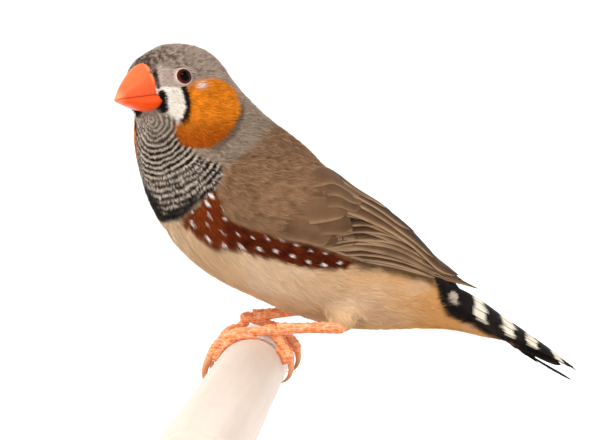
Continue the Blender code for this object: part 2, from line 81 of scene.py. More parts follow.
yaw, pitch, roll = (math.radians(pose[k]) for k in ("headYaw", "headPitch", "headRoll"))
headForward = np.array([-math.cos(yaw) * math.cos(pitch), -math.sin(yaw) * math.cos(pitch), math.sin(pitch)])
level = np.array([math.sin(yaw), -math.cos(yaw), 0.0])
headLeft = level * math.cos(roll) + np.cross(headForward, level) * math.sin(roll)
headUp = np.cross(headForward, headLeft)
headAxes = np.stack([headForward, headLeft, headUp])
headOrigin = np.array(pose["eyeMidpoint"])
bodyTurn = math.radians(pose["bodyYaw"])
trunkAxes = np.array([
    [math.cos(bodyTurn), math.sin(bodyTurn), 0.0],
    [-math.sin(bodyTurn), math.cos(bodyTurn), 0.0],
    [0.0, 0.0, 1.0],
])


def toHead(p):
    return (p - headOrigin) @ headAxes.T


def fromHead(q):
    return headOrigin + np.asarray(q, float) @ headAxes


def toTrunk(p):
    return p @ trunkAxes.T


def fromTrunk(q):
    return np.asarray(q, float) @ trunkAxes


def step(low, high, x):
    t = np.clip((x - low) / (high - low), 0.0, 1.0)
    return t * t * (3 - 2 * t)


def unit(v):
    return v / (np.linalg.norm(v, axis=-1, keepdims=True) + 1e-12)


def readCurve(rows, stations):
    # rows of numbers read along a smooth curve at the given stations
    rows = np.array(rows, float)
    x = rows[:, 0]
    s = np.clip(np.atleast_1d(np.asarray(stations, float)), x[0], x[-1])
    k = np.clip(np.searchsorted(x, s) - 1, 0, len(x) - 2)
    low, high = rows[k], rows[k + 1]
    before, after = rows[np.maximum(k - 1, 0)], rows[np.minimum(k + 2, len(x) - 1)]
    span = high[:, :1] - low[:, :1]
    t = (s[:, None] - low[:, :1]) / span
    slopeIn = (high - before) / (high[:, :1] - before[:, :1]) * span
    slopeOut = (after - low) / (after[:, :1] - low[:, :1]) * span
    return (low * (1 + 2 * t) * (1 - t) ** 2 + slopeIn * t * (1 - t) ** 2
            + high * t * t * (3 - 2 * t) + slopeOut * t * t * (t - 1))


def oval(sections, stations):
    # the sections read at some stations, with the middle and half the height of each
    row = readCurve(sections, stations)
    return row, (row[:, 1] + row[:, 2]) / 2, (row[:, 1] - row[:, 2]) / 2


def aboveNeck(p):
    # height over the plane between neck and head
    return (p - np.array(pose["headPlane"])) @ unit(np.array(pose["headPlaneNormal"]))


def wingShare(trunk):
    # where a point lies across the folded wing: 0 at its upper edge, 1 at its lower
    row, middle, rise = oval(trunkSections, trunk[:, 0])
    angle = np.degrees(np.arctan2(np.abs(trunk[:, 1]) / row[:, 3], (trunk[:, 2] - middle) / rise))
    upper, lower = readCurve(wingSections, trunk[:, 0]).T[1:]
    within = (trunk[:, 0] > wingSections[0][0]) & (trunk[:, 0] < wingSections[-1][0])
    return np.where(within, (angle - upper) / (lower - upper), -9.0)


def noise(p, size, seed):
    # smooth lattice noise, -1 to 1
    q = p / size + 57.0 + seed * 13.7
    base = np.floor(q).astype(np.int64)
    part = q - base
    part = part * part * (3 - 2 * part)
    total = np.zeros(len(p))
    for corner in itertools.product((0, 1), repeat=3):
        key = (base + corner) * (73856093, 19349663, 83492791)
        key = key[:, 0] ^ key[:, 1] ^ key[:, 2] ^ (seed * 7919)
        key = (key ^ (key >> 13)) * 1274126177 & 0x7FFFFFFF
        value = (key ^ (key >> 16)) % 65536 / 32767.5 - 1
        total += value * np.abs(1 - np.array(corner) - part).prod(1)
    return total


def waves(p, *rows):
    # 1 and noises of given strength, size and seed
    return 1 + sum(strength * noise(p, size, seed) for strength, size, seed in rows)


def fromLine(p, a, b):
    # the nearest place on a line for each point, as a share of its length, and the way from there
    e = b - a
    t = np.clip(((p - a) @ e) / (e @ e), 0, 1)
    return t, p - a - t[:, None] * e


def nearPath(p, path):
    path = np.array(path, float)
    return reduce(np.minimum, (np.linalg.norm(fromLine(p, a, b)[1], axis=1) for a, b in zip(path, path[1:])))


def inside(x, y, corners):
    # signed distance to a closed outline, positive inside
    corners = np.array(corners, float)
    within = np.zeros(x.shape, bool)
    for a, b in zip(corners, np.roll(corners, -1, 0)):
        crossing = (b[0] - a[0]) * (y - a[1]) / (b[1] - a[1] + 1e-12) + a[0]
        within ^= ((a[1] > y) != (b[1] > y)) & (x < crossing)
    return np.where(within, 1, -1) * nearPath(np.stack([x, y], 1), [*corners, corners[0]])


def tone(r, g, b):
    c = np.array([r, g, b]) / 255
    return np.where(c <= 0.04045, c / 12.92, ((c + 0.055) / 1.055) ** 2.4)


marks = {
    "crown": tone(156, 138, 124), "nape": tone(146, 127, 110), "fleck": tone(66, 56, 50),
    "mantle": tone(134, 102, 77), "belly": tone(222, 186, 146), "vent": tone(212, 156, 96),
    "chestnut": tone(98, 44, 12), "spot": tone(244, 236, 228), "throat": tone(196, 179, 163),
    "black": tone(26, 22, 21), "cheek": tone(208, 120, 34), "cheekLow": tone(150, 74, 8),
    "stripe": tone(230, 220, 208), "lores": tone(180, 160, 148), "tail": tone(34, 28, 26),
    # outlines on the head as (forward, up), lines as (forward, left, up), outlines on the body as (x, z)
    "cheekOutline": ((-2.8, -0.9), (-5.7, -1.1), (-8.7, -2.1), (-10.4, -4.2), (-9.1, -6.8), (-7.0, -9.6),
                     (-4.9, -11.8), (-3.2, -13.2), (-1.8, -14.0), (-0.2, -13.8), (0.8, -12.7), (0.8, -11.1),
                     (0.7, -8.9), (0.5, -7.2), (0.0, -5.3), (0.1, -3.6), (-0.4, -2.1)),
    "stripeOutline": ((4.7, -1.4), (0.7, -2.0), (0.3, -3.4), (0.1, -4.8), (0.3, -6.5), (0.7, -8.9),
                      (2.0, -7.4), (3.1, -5.8), (4.0, -3.2), (4.7, -2.6)),
    "loresOutline": ((4.4, 2.6), (4.3, -1.8), (0.6, -2.0), (1.4, 0.0), (1.2, 1.6), (2.6, 2.8)),
    "tearLine": ((0.1, 6.9, -2.0), (-0.1, 7.0, -3.9), (-0.1, 7.2, -5.7), (0.3, 6.5, -7.5), (0.8, 5.2, -9.2)),
    "billLine": ((3.3, 1.2, 3.2), (3.7, 1.9, 2.9), (4.0, 3.0, 2.2), (4.3, 4.0, 0.8), (4.3, 4.1, -0.7),
                 (4.3, 4.0, -1.5)),
    "billPatch": ((3.95, 4.0, -2.5), (3.75, 4.1, -3.4), (3.4, 3.6, -5.0), (3.0, 3.8, -5.7)),
    "breastOutline": ((-32.0, 56.0), (-32.0, 28.2), (-17.5, 28.2), (-14.6, 29.4), (-11.5, 32.0), (-8.7, 34.9),
                      (-7.1, 36.7), (-7.0, 39.5), (-14.2, 42.2), (-14.5, 50.0), (-20.0, 56.0)),
    "flankOutline": ((-14.3, 28.9), (-11.2, 32.0), (-9.4, 35.2), (-8.3, 33.6), (-5.7, 30.9), (-2.8, 28.4),
                     (2.2, 26.2), (9.7, 24.3), (16.0, 22.6), (19.0, 21.2), (14.3, 19.5), (7.7, 20.4),
                     (2.1, 21.9), (-3.5, 23.3), (-8.0, 23.1), (-10.8, 25.2)),
    "chin": (3.4, 0.0, -7.0),
    "barPeriod": (0.82, 0.024),
    "spotPitch": (2.9, 2.3),
    # borders as two rows of numbers: grey by height, then belly, breast band and tail by station
    "greyBorder": ((20, 35.8, 38.6, 40.4, 42.2, 45.9, 49, 52), (-12, -8.4, -6.5, -5.2, -1.6, 2.6, 4.4, 5.6)),
    "bellyTop": ((-30, -14, -10.8, -8, -3.5, 2.1, 7.7, 14.3, 17.1, 22.5, 27, 33, 36, 45, 60),
                 (27.8, 28.7, 25.3, 23.1, 23.5, 22, 20.5, 19.7, 20.8, 20.9, 19.6, 18.2, 15.5, 6.0, -2.0)),
    "bandLow": ((-24, -20, -17.5, -14.6, -11.5, -8), (36.5, 32.4, 28.3, 29.5, 32.0, 34.4)),
    "tailLow": ((33, 34.9, 35.5, 36.6, 37.8, 42.1, 44.4, 49, 52, 55),
                (22, 16.1, 13.2, 10.8, 9.6, 7.9, 6.7, 4.9, 2.8, -4.0)),
}


def blend(base, colour, amount):
    return base + (colour - base) * amount[:, None]


# the feathers of the flank lap over the wing's lower part down to this share of its width
lowEdge = ((-7, -3, 0, 8, 14, 20), (0.90, 0.87, 0.85, 0.86, 0.93, 1.0))


def markings(p):
    # colour of skin or feather at each point, the same on both sides of the bird
    head, trunk = toHead(p), toTrunk(p)
    f, l, u = head[:, 0], np.abs(head[:, 1]), head[:, 2]
    x, y, z = trunk.T
    wobble = noise(p, 1.6, 1) * 0.35 + noise(p, 0.6, 2) * 0.18
    above, across = aboveNeck(p), wingShare(trunk)
    onWing = step(0.1, 0.4, across) * step(1.1, 1.0, across) * step(-9, -4, x)
    # faint rounded edges of the back's and wing's small feathers: a paler fringe at each tip, and painted
    # shadow just beyond it on the feather below
    warp = 0.5 * noise(p, 3.0, 25)
    row = (0.79 * x - 0.61 * (z - 30)) / 2.9 + warp
    side = (0.61 * x + 0.79 * (z - 30)) / 3.1 + 0.5 * (np.floor(row) % 2) + warp
    scale = (row - np.floor(row) + 1.3 * (side - np.round(side)) ** 2) % 1.0
    fringeAndShadow = 0.06 * step(0.6, 0.95, scale) - 0.15 * step(0.3, 0.0, scale)
    # dark lines over the wing: painted shade in the gaps between its feathers
    ridges = noise(trunk * (0.55, 0.9, 1.25) + 0.4 * np.sin(x / 3)[:, None], 3.4, 35)
    gap = step(0.84, 0.97, 1 - np.abs(ridges)) * step(0.0, 0.2, across) * step(1.0, 0.9, across)
    shade = waves(p, (0.09, 6.0, 19), (0.09, 2.5, 3), (0.08, 0.8, 4)) * (1 + (1 + 0.9 * onWing) * fringeAndShadow)
    colour = marks["mantle"] * (shade * (1 - 0.24 * gap))[:, None]

    def lay(layer, amount):
        nonlocal colour
        colour = blend(colour, marks[layer] if isinstance(layer, str) else layer, amount)

    # grey of crown, nape and neck
    frontal = step(-7.0, 3.5, f) * step(1.0, 4.0, u) * step(0, 3, above)
    fleck = step(0.15, 0.5, noise(p, 0.5, 5) + 0.25 * noise(p, 2.0, 6) + 0.32 * frontal)
    shade = (1 - 0.22 * step(-2.0, 4.0, f) * step(0.0, 3.0, u)) * waves(p, (0.1, 0.5, 21), (0.08, 1.5, 22))
    grey = blend(marks["nape"], marks["crown"], step(2, 10, above)) * shade[:, None]
    grey = blend(grey, marks["fleck"], (0.42 + 0.5 * frontal) * fleck)
    lay(grey, step(-1.3, 1.3, np.interp(z, *marks["greyBorder"]) - x + 2.2 * wobble))
    # belly, and the flank with its rows of spots
    edge = np.interp(x, *marks["bellyTop"])
    belly = blend(marks["belly"], marks["vent"], step(10, 38, x + 2 * noise(p, 4.0, 7)))
    # pale streaks over the belly are painted highlights
    belly = blend(belly, marks["stripe"], 0.24 * step(0.0, 0.9, noise(p * (0.5, 1.0, 1.3), 4.0, 14)))
    lay(belly * (waves(p, (0.04, 1.4, 8)) - 0.13 * step(5, -9, x))[:, None],
        step(-0.5, 0.5, edge - z + wobble))
    flank = step(-0.35, 0.35, inside(x, z, marks["flankOutline"]) + 2.1 * wobble) * step(3.0, 5.5, np.abs(y))
    flank = flank * np.where(x > -7, step(-0.03, 0.03, across - np.interp(x, *lowEdge)), 1.0)
    chestnut = waves(p, (0.4, 1.4, 9), (0.2, 0.4, 18)) - 0.1 + 0.55 * step(-3.0, -12.0, x)
    lay(marks["chestnut"] * chestnut[:, None], flank)
    # a dark band under the wing's lower edge towards the rear: partly dark feathers, partly painted shadow of
    # the wing
    lay("tail", 0.8 * step(17, 20, x) * step(37, 33, x) * step(2.3, 0.6, np.abs(edge - z) + 1.2 * wobble))
    pitchX, pitchZ = marks["spotPitch"]
    rise = (z - edge - 1.15) / pitchZ
    row = np.round(rise)
    along = (x + 0.9 * np.sin(3.1 * row)) / pitchX + 0.5 * (row % 2)
    cell = np.round(along)
    wide = (along - cell - np.sin(cell * 12.9 + row * 78.2) * 0.24) * pitchX / 0.56
    high = (rise - row + np.sin(cell * 5.1 + row) * 0.22) * pitchZ / 0.42
    spot = np.hypot(wide, high) / (0.8 + 0.3 * np.sin(cell * 37.7 + row * 11.3))
    lay("spot", step(1.12, 0.85, spot + 0.12 * noise(p, 0.5, 10)) * flank * (row >= 0))
    # bars of throat and breast, in arcs round the chin
    breast = inside(x, z, marks["breastOutline"]) + 0.7 * wobble
    throat = np.minimum(step(-0.3, 0.3, breast), step(2.6, 0.4, np.maximum(above - 7.5, 0)))
    face = step(-1.4, -0.2, f - 0.6) * step(-5.8, -7.0, u) * step(-6, 0, above)
    away = np.linalg.norm(p - fromHead(marks["chin"]), axis=1)
    shortest, growth = marks["barPeriod"]
    bars = np.log(1 + away * growth / shortest) / growth + 0.26 * noise(p, 1.7, 11) + 0.13 * noise(p, 0.7, 15)
    bars = np.sin(2 * math.pi * bars) + 0.3 * step(10, 22, away) + 0.25 * noise(p, 0.8, 17)
    barTone = marks["throat"] * waves(p, (0.12, 0.5, 23), (0.12, 2.2, 24))[:, None]
    barTone = blend(barTone, marks["black"], step(-0.55, -0.2, bars) * (0.75 + 0.25 * step(2, 7, away)))
    band = step(2.8, 1.3, z - np.interp(x, *marks["bandLow"]) + 0.9 * wobble)
    band = band * step(-9.5, -12.5, x) * step(-1.0, 0.4, breast)
    lay(blend(barTone, marks["black"], 0.9 * band), np.maximum(throat, face))
    # black tail with a pale rump and the first of its pale spots
    lay("tail", step(-0.5, 0.5, z - np.interp(x, *marks["tailLow"]) + wobble) * step(33, 35, x))
    rump = step(25, 29, x) * step(39, 37, x) * step(4.6, 3.2, np.abs(y) + wobble)
    lay("stripe", 0.85 * rump * step(-0.5, 0.5, z - edge - 6))
    first = np.hypot((x - 38.7) / 1.05, (z - 13.3 + 0.4 * (x - 38.7)) / 1.3)
    lay("throat", 0.8 * step(1.15, 0.75, first + 0.15 * wobble) * step(2.0, 3.0, np.abs(y)))
    # the orange cheek, darker low down, with painted shadow under its rear edge and a painted highlight as a
    # pale spot
    onHead = step(-2.0, 0.5, above + 3)
    rim = inside(f, u, marks["cheekOutline"]) + 0.8 * wobble
    # painted shadow just outside the cheek's rear lower edge
    cheekShadow = step(-1.3, -0.5, rim) * step(-1.0, -3.0, f) * step(-5.5, -8.0, u) * step(3.0, 4.5, l)
    lay(np.zeros(3), 0.5 * cheekShadow * onHead)
    cheek = blend(marks["cheek"], marks["cheekLow"], step(-7, -12.5, u))
    cheek = cheek * waves(p, (0.16, 1.3, 12), (0.1, 0.45, 16))[:, None]
    # a pale spot near the cheek's top front is a painted highlight
    pale = np.hypot((f + 3.0 + 0.5 * (u + 2.1)) / 1.15, (u + 2.1) / 0.9)
    cheek = blend(cheek, marks["stripe"], 0.62 * step(1.3, 0.2, pale))
    lay(cheek, step(-0.3, 0.3, rim) * step(2.5, 4.0, l) * onHead)
    # the lines between eye and bill
    lores = inside(f, u, marks["loresOutline"]) + 0.5 * wobble
    lay("lores", 0.8 * step(-0.4, 0.4, lores) * step(2.0, 3.2, l))
    stripe = step(-0.25, 0.2, inside(f, u, marks["stripeOutline"]) + 0.3 * wobble)
    stripe = stripe * step(0.0, 1.2, l - 1.8 - 0.45 * np.clip(-u - 4, 0, 4))
    lay("stripe", stripe * np.where(head[:, 1] > 0, 1.0, step(-6.2, -5.2, u)))
    flatten = np.array([1.0, 0.25, 1.0])
    tear, line, patch = (
        nearPath(np.stack([f, l, u], 1) * flatten, np.array(marks[key]) * flatten) + amount * wobble
        for key, amount in (("tearLine", 0.7), ("billLine", 0.2), ("billPatch", 0.2)))
    lay("black", step(0.6, 0.28, tear) * step(2.0, 3.5, l) * step(-1.6, -2.4, u))
    lay("black", step(0.42, 0.2, line) * (0.6 + 0.35 * step(2.6, 1.2, u)))
    lay("black", step(0.7, 0.4, patch))
    return np.clip(colour, 0.002, 1.0)


spinePath = np.array([fromTrunk((x, 0, z)) for x, z in (
    (66.0, -2.0), (52.0, 5.0), (38.0, 12.0), (20.0, 20.0), (0.0, 31.0), (-9.0, 40.0),
)] + [fromHead((x, 0, z)) for x, z in ((-8.0, -9.0), (-5.0, -2.0), (1.0, -1.5), (7.0, -1.5))])


def bakePlace(p):
    # an unwrap of the skin's own shape: round the spine, and along it from the tail to the face
    lengths = np.linalg.norm(np.diff(spinePath, axis=0), axis=1)
    starts = np.concatenate([[0], np.cumsum(lengths)])
    best = np.full(len(p), 1e9)
    place = np.zeros((len(p), 2))
    for k, (a, b) in enumerate(zip(spinePath, spinePath[1:])):
        t, r = fromLine(p, a, b)
        far = np.linalg.norm(r, axis=1)
        side = unit(np.cross(b - a, [0.0, 0.0, 1.0]))
        turn = np.arctan2(r @ side, r @ np.cross(side, unit(b - a))) / (2 * math.pi) + 0.5
        new = np.stack([turn, (starts[k] + t * lengths[k]) / starts[-1]], 1)
        nearer = far < best
        place[nearer], best = new[nearer], np.minimum(best, far)
    return 0.004 + place * 0.992


def addObject(name, data):
    made = bpy.data.objects.new(name, data)
    bpy.context.scene.collection.objects.link(made)
    return made


def showPiece(name, mesh, replaced):
    piece = addObject(name, mesh)
    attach(piece, "root")
    if replaced:
        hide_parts(*replaced)
    return piece


def bakedMesh(guide):
    # the mesh that an object's modifiers make of it; the object itself goes
    bpy.context.view_layer.update()
    mesh = bpy.data.meshes.new_from_object(guide.evaluated_get(bpy.context.evaluated_depsgraph_get()))
    bpy.data.objects.remove(guide, do_unlink=True)
    return mesh


def hoops(index, turned=False):
    # quads between the closed rows of a table of corner numbers, facing the other way when turned
    after = np.roll(index, -1, 1)
    quads = np.stack([index[:-1], index[1:], after[1:], after[:-1]], -1).reshape(-1, 4)
    return quads[:, (0, 3, 2, 1)] if turned else quads


def lathe(rings, first, last):
    # points and faces of rows of points closed by two poles
    count, sides = rings.shape[:2]
    index = 1 + np.arange(count * sides).reshape(count, sides)
    after = np.roll(index, -1, 1)
    caps = [np.stack([np.zeros(sides, int), index[0], after[0]], 1),
            np.stack([np.full(sides, count * sides + 1), after[-1], index[-1]], 1)]
    return np.concatenate([[first], rings.reshape(-1, 3), [last]]), [hoops(index), np.concatenate(caps)]


def faceOut(mesh):
    shape = bmesh.new()
    shape.from_mesh(mesh)
    bmesh.ops.recalc_face_normals(shape, faces=shape.faces)
    shape.to_mesh(mesh)
    shape.free()


def makePiece(name, points, faces, material, tint=None, bake=None, vane=None, replaced=()):
    # faces is a list of index arrays, one row a face; points in millimetres
    mesh = bpy.data.meshes.new(name)
    mesh.vertices.add(len(points))
    mesh.vertices.foreach_set("co", toRow(points).astype(np.float32).ravel())
    corners = np.concatenate([np.asarray(f, np.int32).ravel() for f in faces])
    sizes = np.concatenate([np.full(len(f), np.asarray(f).shape[1], np.int32) for f in faces])
    mesh.loops.add(len(corners))
    mesh.loops.foreach_set("vertex_index", corners)
    mesh.polygons.add(len(sizes))
    mesh.polygons.foreach_set("loop_start", np.concatenate([[0], np.cumsum(sizes)[:-1]]).astype(np.int32))
    mesh.update(calc_edges=True)
    mesh.polygons.foreach_set("use_smooth", np.ones(len(sizes), bool))
    if tint is not None:
        layer = mesh.attributes.new("tint", "FLOAT_COLOR", "POINT")
        colours = np.concatenate([tint, np.ones((len(tint), 1))], 1).astype(np.float32)
        layer.data.foreach_set("color", colours.ravel())
    for layerName, values in (("OFBake", bake), ("vane", vane)):
        if values is not None:
            layer = mesh.uv_layers.new(name=layerName)
            layer.data.foreach_set("uv", values[corners].astype(np.float32).ravel())
    mesh.validate()
    mesh.materials.append(material)
    return showPiece(name, mesh, replaced)


class Wire:
    # one socket of a material, for sums on what it carries
    def __init__(self, tree, socket=None):
        self.tree, self.socket = tree, socket

    def node(self, kind, settings=None, sockets=None, out=0):
        made = self.tree.nodes.new(kind)
        for key, value in (settings or {}).items():
            if key == "stops":
                ramp = made.color_ramp
                for element, (place, colour) in (
                        (ramp.elements[0], value[0]), (ramp.elements[-1], value[-1])):
                    element.position, element.color = place, (*colour, 1.0)
                for place, colour in value[1:-1]:
                    ramp.elements.new(place).color = (*colour, 1.0)
            else:
                setattr(made, key, value)
        for key, value in (sockets or {}).items():
            target = made.inputs[key]
            if isinstance(value, Wire):
                self.tree.links.new(value.socket, target)
            elif value is not None:
                target.default_value = value
        return Wire(self.tree, made.outputs[out]) if made.outputs else Wire(self.tree)

    def maths(self, operation, a, b=None, clamp=False):
        return self.node("ShaderNodeMath", {"operation": operation, "use_clamp": clamp}, {0: a, 1: b})

    def mix(self, a, b):
        # a and b are colours; this wire is the share of b
        a, b = ((*value, 1.0) if not isinstance(value, Wire) else value for value in (a, b))
        return self.node("ShaderNodeMix", {"data_type": "RGBA"}, {"Factor": self, 6: a, 7: b}, 2)


for sign, operation in (("add", "ADD"), ("sub", "SUBTRACT"), ("mul", "MULTIPLY"), ("truediv", "DIVIDE")):
    setattr(Wire, f"__{sign}__", lambda a, b, operation=operation: a.maths(operation, a, b))
    setattr(Wire, f"__r{sign}__", lambda a, b, operation=operation: a.maths(operation, b, a))


def makeFinish(name, **constants):
    # a material with its shader's fixed values set, the wire that its nodes are made from,
    # the shader and a wire of places in metres
    material = bpy.data.materials.new(name)
    material.use_nodes = True
    shader = material.node_tree.nodes["Principled BSDF"]
    for key, value in constants.items():
        shader.inputs[key.replace("_", " ")].default_value = value
    w = Wire(material.node_tree)
    return material, w, shader, w.node("ShaderNodeTexCoord", out=3)


def feed(shader, **wires):
    for key, wire in wires.items():
        wire.tree.links.new(wire.socket, shader.inputs[key.replace("_", " ")])


def bump(w, height, strength, distance):
    return w.node("ShaderNodeBump", None, {"Strength": strength, "Distance": distance, "Height": height})


def spread(w, coordinate, scale, detail=3.0):
    return w.node("ShaderNodeTexNoise", None, {"Vector": coordinate, "Scale": scale, "Detail": detail})


def stretch(w, place, scale):
    return w.node("ShaderNodeMapping", None, {"Vector": place, "Scale": scale})


def stored(w, name, out=0):
    return w.node("ShaderNodeAttribute", {"attribute_name": name}, out=out)


def plumageFinish(name, barbs):
    material, w, shader, place = makeFinish(name, Specular_IOR_Level=0.08)
    tint = stored(w, "tint")
    deeper = w.node("ShaderNodeBrightContrast", None, {"Color": tint, "Bright": -0.02})
    colour = spread(w, place, 900.0).mix(deeper, tint)
    grain = spread(w, place, 4200.0, 2.0)
    if barbs:
        # slanted barb lines either side of the shaft, on the vane's own map in millimetres
        across = w.node("ShaderNodeSeparateXYZ", None, {
            "Vector": w.node("ShaderNodeUVMap", {"uv_map": "vane"})})
        along = Wire(w.tree, across.socket.node.outputs[1])
        slant = along - w.maths("ABSOLUTE", across) * 0.9 + grain * 0.25
        lines = w.maths("SINE", slant * (2 * math.pi / 0.3))
        colour = (lines * 0.09 + 0.12).mix(colour, (0.03, 0.02, 0.015))
        grain = grain * 0.5 + lines * 0.5
    feed(shader, Base_Color=colour, Roughness=grain * 0.2 + 0.68, Normal=bump(w, grain, 0.5, 0.00012))
    return material


skinFinish = plumageFinish("down", False)
barbFinish = plumageFinish("barbs", False)
vaneFinish = plumageFinish("vanes", True)

print("skin")
skinWay = {"voxel": 0.5, "pad": 0.22, "coatDepth": 0.6, "smoothing": 8,
           "billEdge": ((-6, -4.5, -3, -2.2, 0, 2, 3.4), (3.1, 3.3, 4.1, 4.7, 4.5, 4.3, 3.4))}
fleshNodes = ("head", "neck", "trunk", "thigh_left", "thigh_right", "wing_left", "wing_right", "tail")


def readOut(items, key, width, kind=float):
    values = np.empty(len(items) * width, kind)
    items.foreach_get(key, values)
    return values.reshape(-1, width)


def makeSkin():
    joined = bmesh.new()
    for node in fleshNodes + ("eye_left", "eye_right", "bill_upper", "bill_lower"):
        part = bmesh.new()
        part.from_mesh(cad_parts[node].data)
        bmesh.ops.remove_doubles(part, verts=part.verts, dist=1e-6)
        part.normal_update()
        for v in part.verts:
            v.co += v.normal * skinWay["pad"] * 0.001
        copy = bpy.data.meshes.new("padded")
        part.to_mesh(copy)
        part.free()
        joined.from_mesh(copy)
        bpy.data.meshes.remove(copy)
    mesh = bpy.data.meshes.new("skinForm")
    joined.to_mesh(mesh)
    joined.free()
    form = addObject("skinForm", mesh)
    remesh = form.modifiers.new("surface", "REMESH")
    remesh.mode = "VOXEL"
    remesh.voxel_size = skinWay["voxel"] * 0.001
    soften = form.modifiers.new("soften", "SMOOTH")
    soften.factor = 0.5
    soften.iterations = skinWay["smoothing"]
    result = bakedMesh(form)
    shape = bmesh.new()
    shape.from_mesh(result)
    # only the largest island is kept
    left, islands = set(shape.verts), []
    while left:
        front = {left.pop()}
        island = set(front)
        while front:
            front = {e.other_vert(v) for v in front for e in v.link_edges} & left
            left -= front
            island |= front
        islands.append(island)
    largest = max(islands, key=len)
    bmesh.ops.delete(shape, geom=[v for v in shape.verts if v not in largest], context="VERTS")
    shape.verts.index_update()
    shape.to_mesh(result)
    shape.free()
    points = readOut(result.vertices, "co", 3) * 1000 - np.array(pose["origin"])
    edges = readOut(result.edges, "vertices", 2, np.int64)
    faces = np.array([list(f.vertices) for f in result.polygons if len(f.vertices) == 4])
    normals = readOut(result.vertices, "normal", 3)
    count = len(points)
    tree = BVHTree.FromPolygons(points.tolist(), faces.tolist())
    depth = np.full(count, skinWay["coatDepth"])
    for k, n in enumerate(map(Vector, normals)):
        # where flesh is thin, the coat takes less than a third of it
        hit = tree.ray_cast(Vector(points[k]) - n * 0.02, -n, 8.0)
        if hit[0]:
            depth[k] = min(depth[k], 0.28 * hit[3])
    degree = np.bincount(edges.ravel(), minlength=count).astype(float)

    def relaxed(values, times):
        for _ in range(times):
            total = np.zeros_like(values)
            np.add.at(total, edges[:, 0], values[edges[:, 1]])
            np.add.at(total, edges[:, 1], values[edges[:, 0]])
            mean = total / (degree[:, None] if values.ndim > 1 else degree)
            values = 0.5 * values + 0.5 * mean
        return values

    depth = relaxed(depth, 4)
    # the feathers round the bill are the shortest, so the skin lies higher there
    head = toHead(points)
    nearBill = step(3.4, 0.6, np.linalg.norm((head - (5.4, 0, -1.0)) / (1.0, 1.25, 1.35), axis=1) - 3.6)
    depth = depth * (1 - 0.85 * nearBill)
    points = points - normals * (depth + skinWay["pad"] * np.minimum(1, depth / 0.3))[:, None]
    points = relaxed(points, 3)
    head = toHead(points)
    row = readCurve(billSections, head[:, 0])
    middle = (row[:, 1] + row[:, 3]) / 2
    reach = np.hypot(head[:, 1] / (row[:, 2] + 0.1),
                     (head[:, 2] - middle) / ((row[:, 1] - row[:, 3]) / 2 + 0.1))
    edge = np.interp(head[:, 2], *skinWay["billEdge"])
    sink = step(0.0, 0.5, head[:, 0] - edge) * step(1.9, 1.6, reach)
    centre = fromHead(np.stack([np.minimum(head[:, 0], edge + 0.5) - 0.3, 0 * middle, middle], 1))
    points = points + (centre - points) * (
        sink * np.clip(1 - 0.7 / np.maximum(reach, 0.8), 0.1, 0.8))[:, None]
    return points, faces


skinPoints, skinFaces = makeSkin()
skinTree = BVHTree.FromPolygons(skinPoints.tolist(), skinFaces.tolist())
print("skin vertices", len(skinPoints))

print("eyes")
eyeWay = {"centre": (-0.7, 5.2, -0.3), "radius": 2.3, "gaze": (0.8, 1.9, 0.28), "opening": 1.55, "lid": 0.12,
          "ring": 2.55, "mesh": (56, 64), "lidMesh": (22, 96),
          "skin": tone(188, 170, 159), "rim": tone(60, 40, 36)}


def eyeFrame(side):
    centre, gaze = (np.array(eyeWay[key]) * (1, side, 1) for key in ("centre", "gaze"))
    gaze = unit(gaze @ headAxes)
    across = unit(np.cross(headUp, gaze))
    return fromHead(centre), gaze, across, np.cross(gaze, across)


def makeEye(side, name):
    centre, gaze, across, over = eyeFrame(side)
    radius, (rings, sides) = eyeWay["radius"], eyeWay["mesh"]
    polar = math.pi * np.arange(1, rings)[:, None, None] / rings
    turn = 2 * math.pi * np.arange(sides)[:, None] / sides
    ring = across * np.cos(turn) + over * np.sin(turn)
    points, faces = lathe(centre + radius * (gaze * np.cos(polar) + ring * np.sin(polar)),
                          centre + gaze * radius, centre - gaze * radius)
    piece = makePiece(name + "_globe", points, faces, eyeFinish, replaced=(name,))
    # distance from the line of sight, for the pupil and the iris
    reach = np.repeat(radius * np.where(polar < math.pi / 2, np.sin(polar), 1.0), sides)
    layer = piece.data.attributes.new("reach", "FLOAT", "POINT")
    layer.data.foreach_set("value", np.concatenate([[0.0], reach, [radius]]).astype(np.float32))


eyeFinish, w, shader, place = makeFinish("eyeGlass", Roughness=0.04, Specular_IOR_Level=0.05)
fibres = spread(w, place, 5200.0)
feed(shader, Base_Color=w.node("ShaderNodeValToRGB", {"stops": (
    (0.0, tone(1, 1, 1)), (0.42, tone(2, 1, 1)), (0.50, tone(58, 16, 10)), (0.64, tone(86, 28, 17)),
    (0.73, tone(34, 10, 8)), (1.0, tone(12, 6, 5)),
)}, {"Fac": stored(w, "reach", 2) * 0.48 + (fibres - 0.5) * 0.03}))
for side, name in ((1, "eye_left"), (-1, "eye_right")):
    makeEye(side, name)


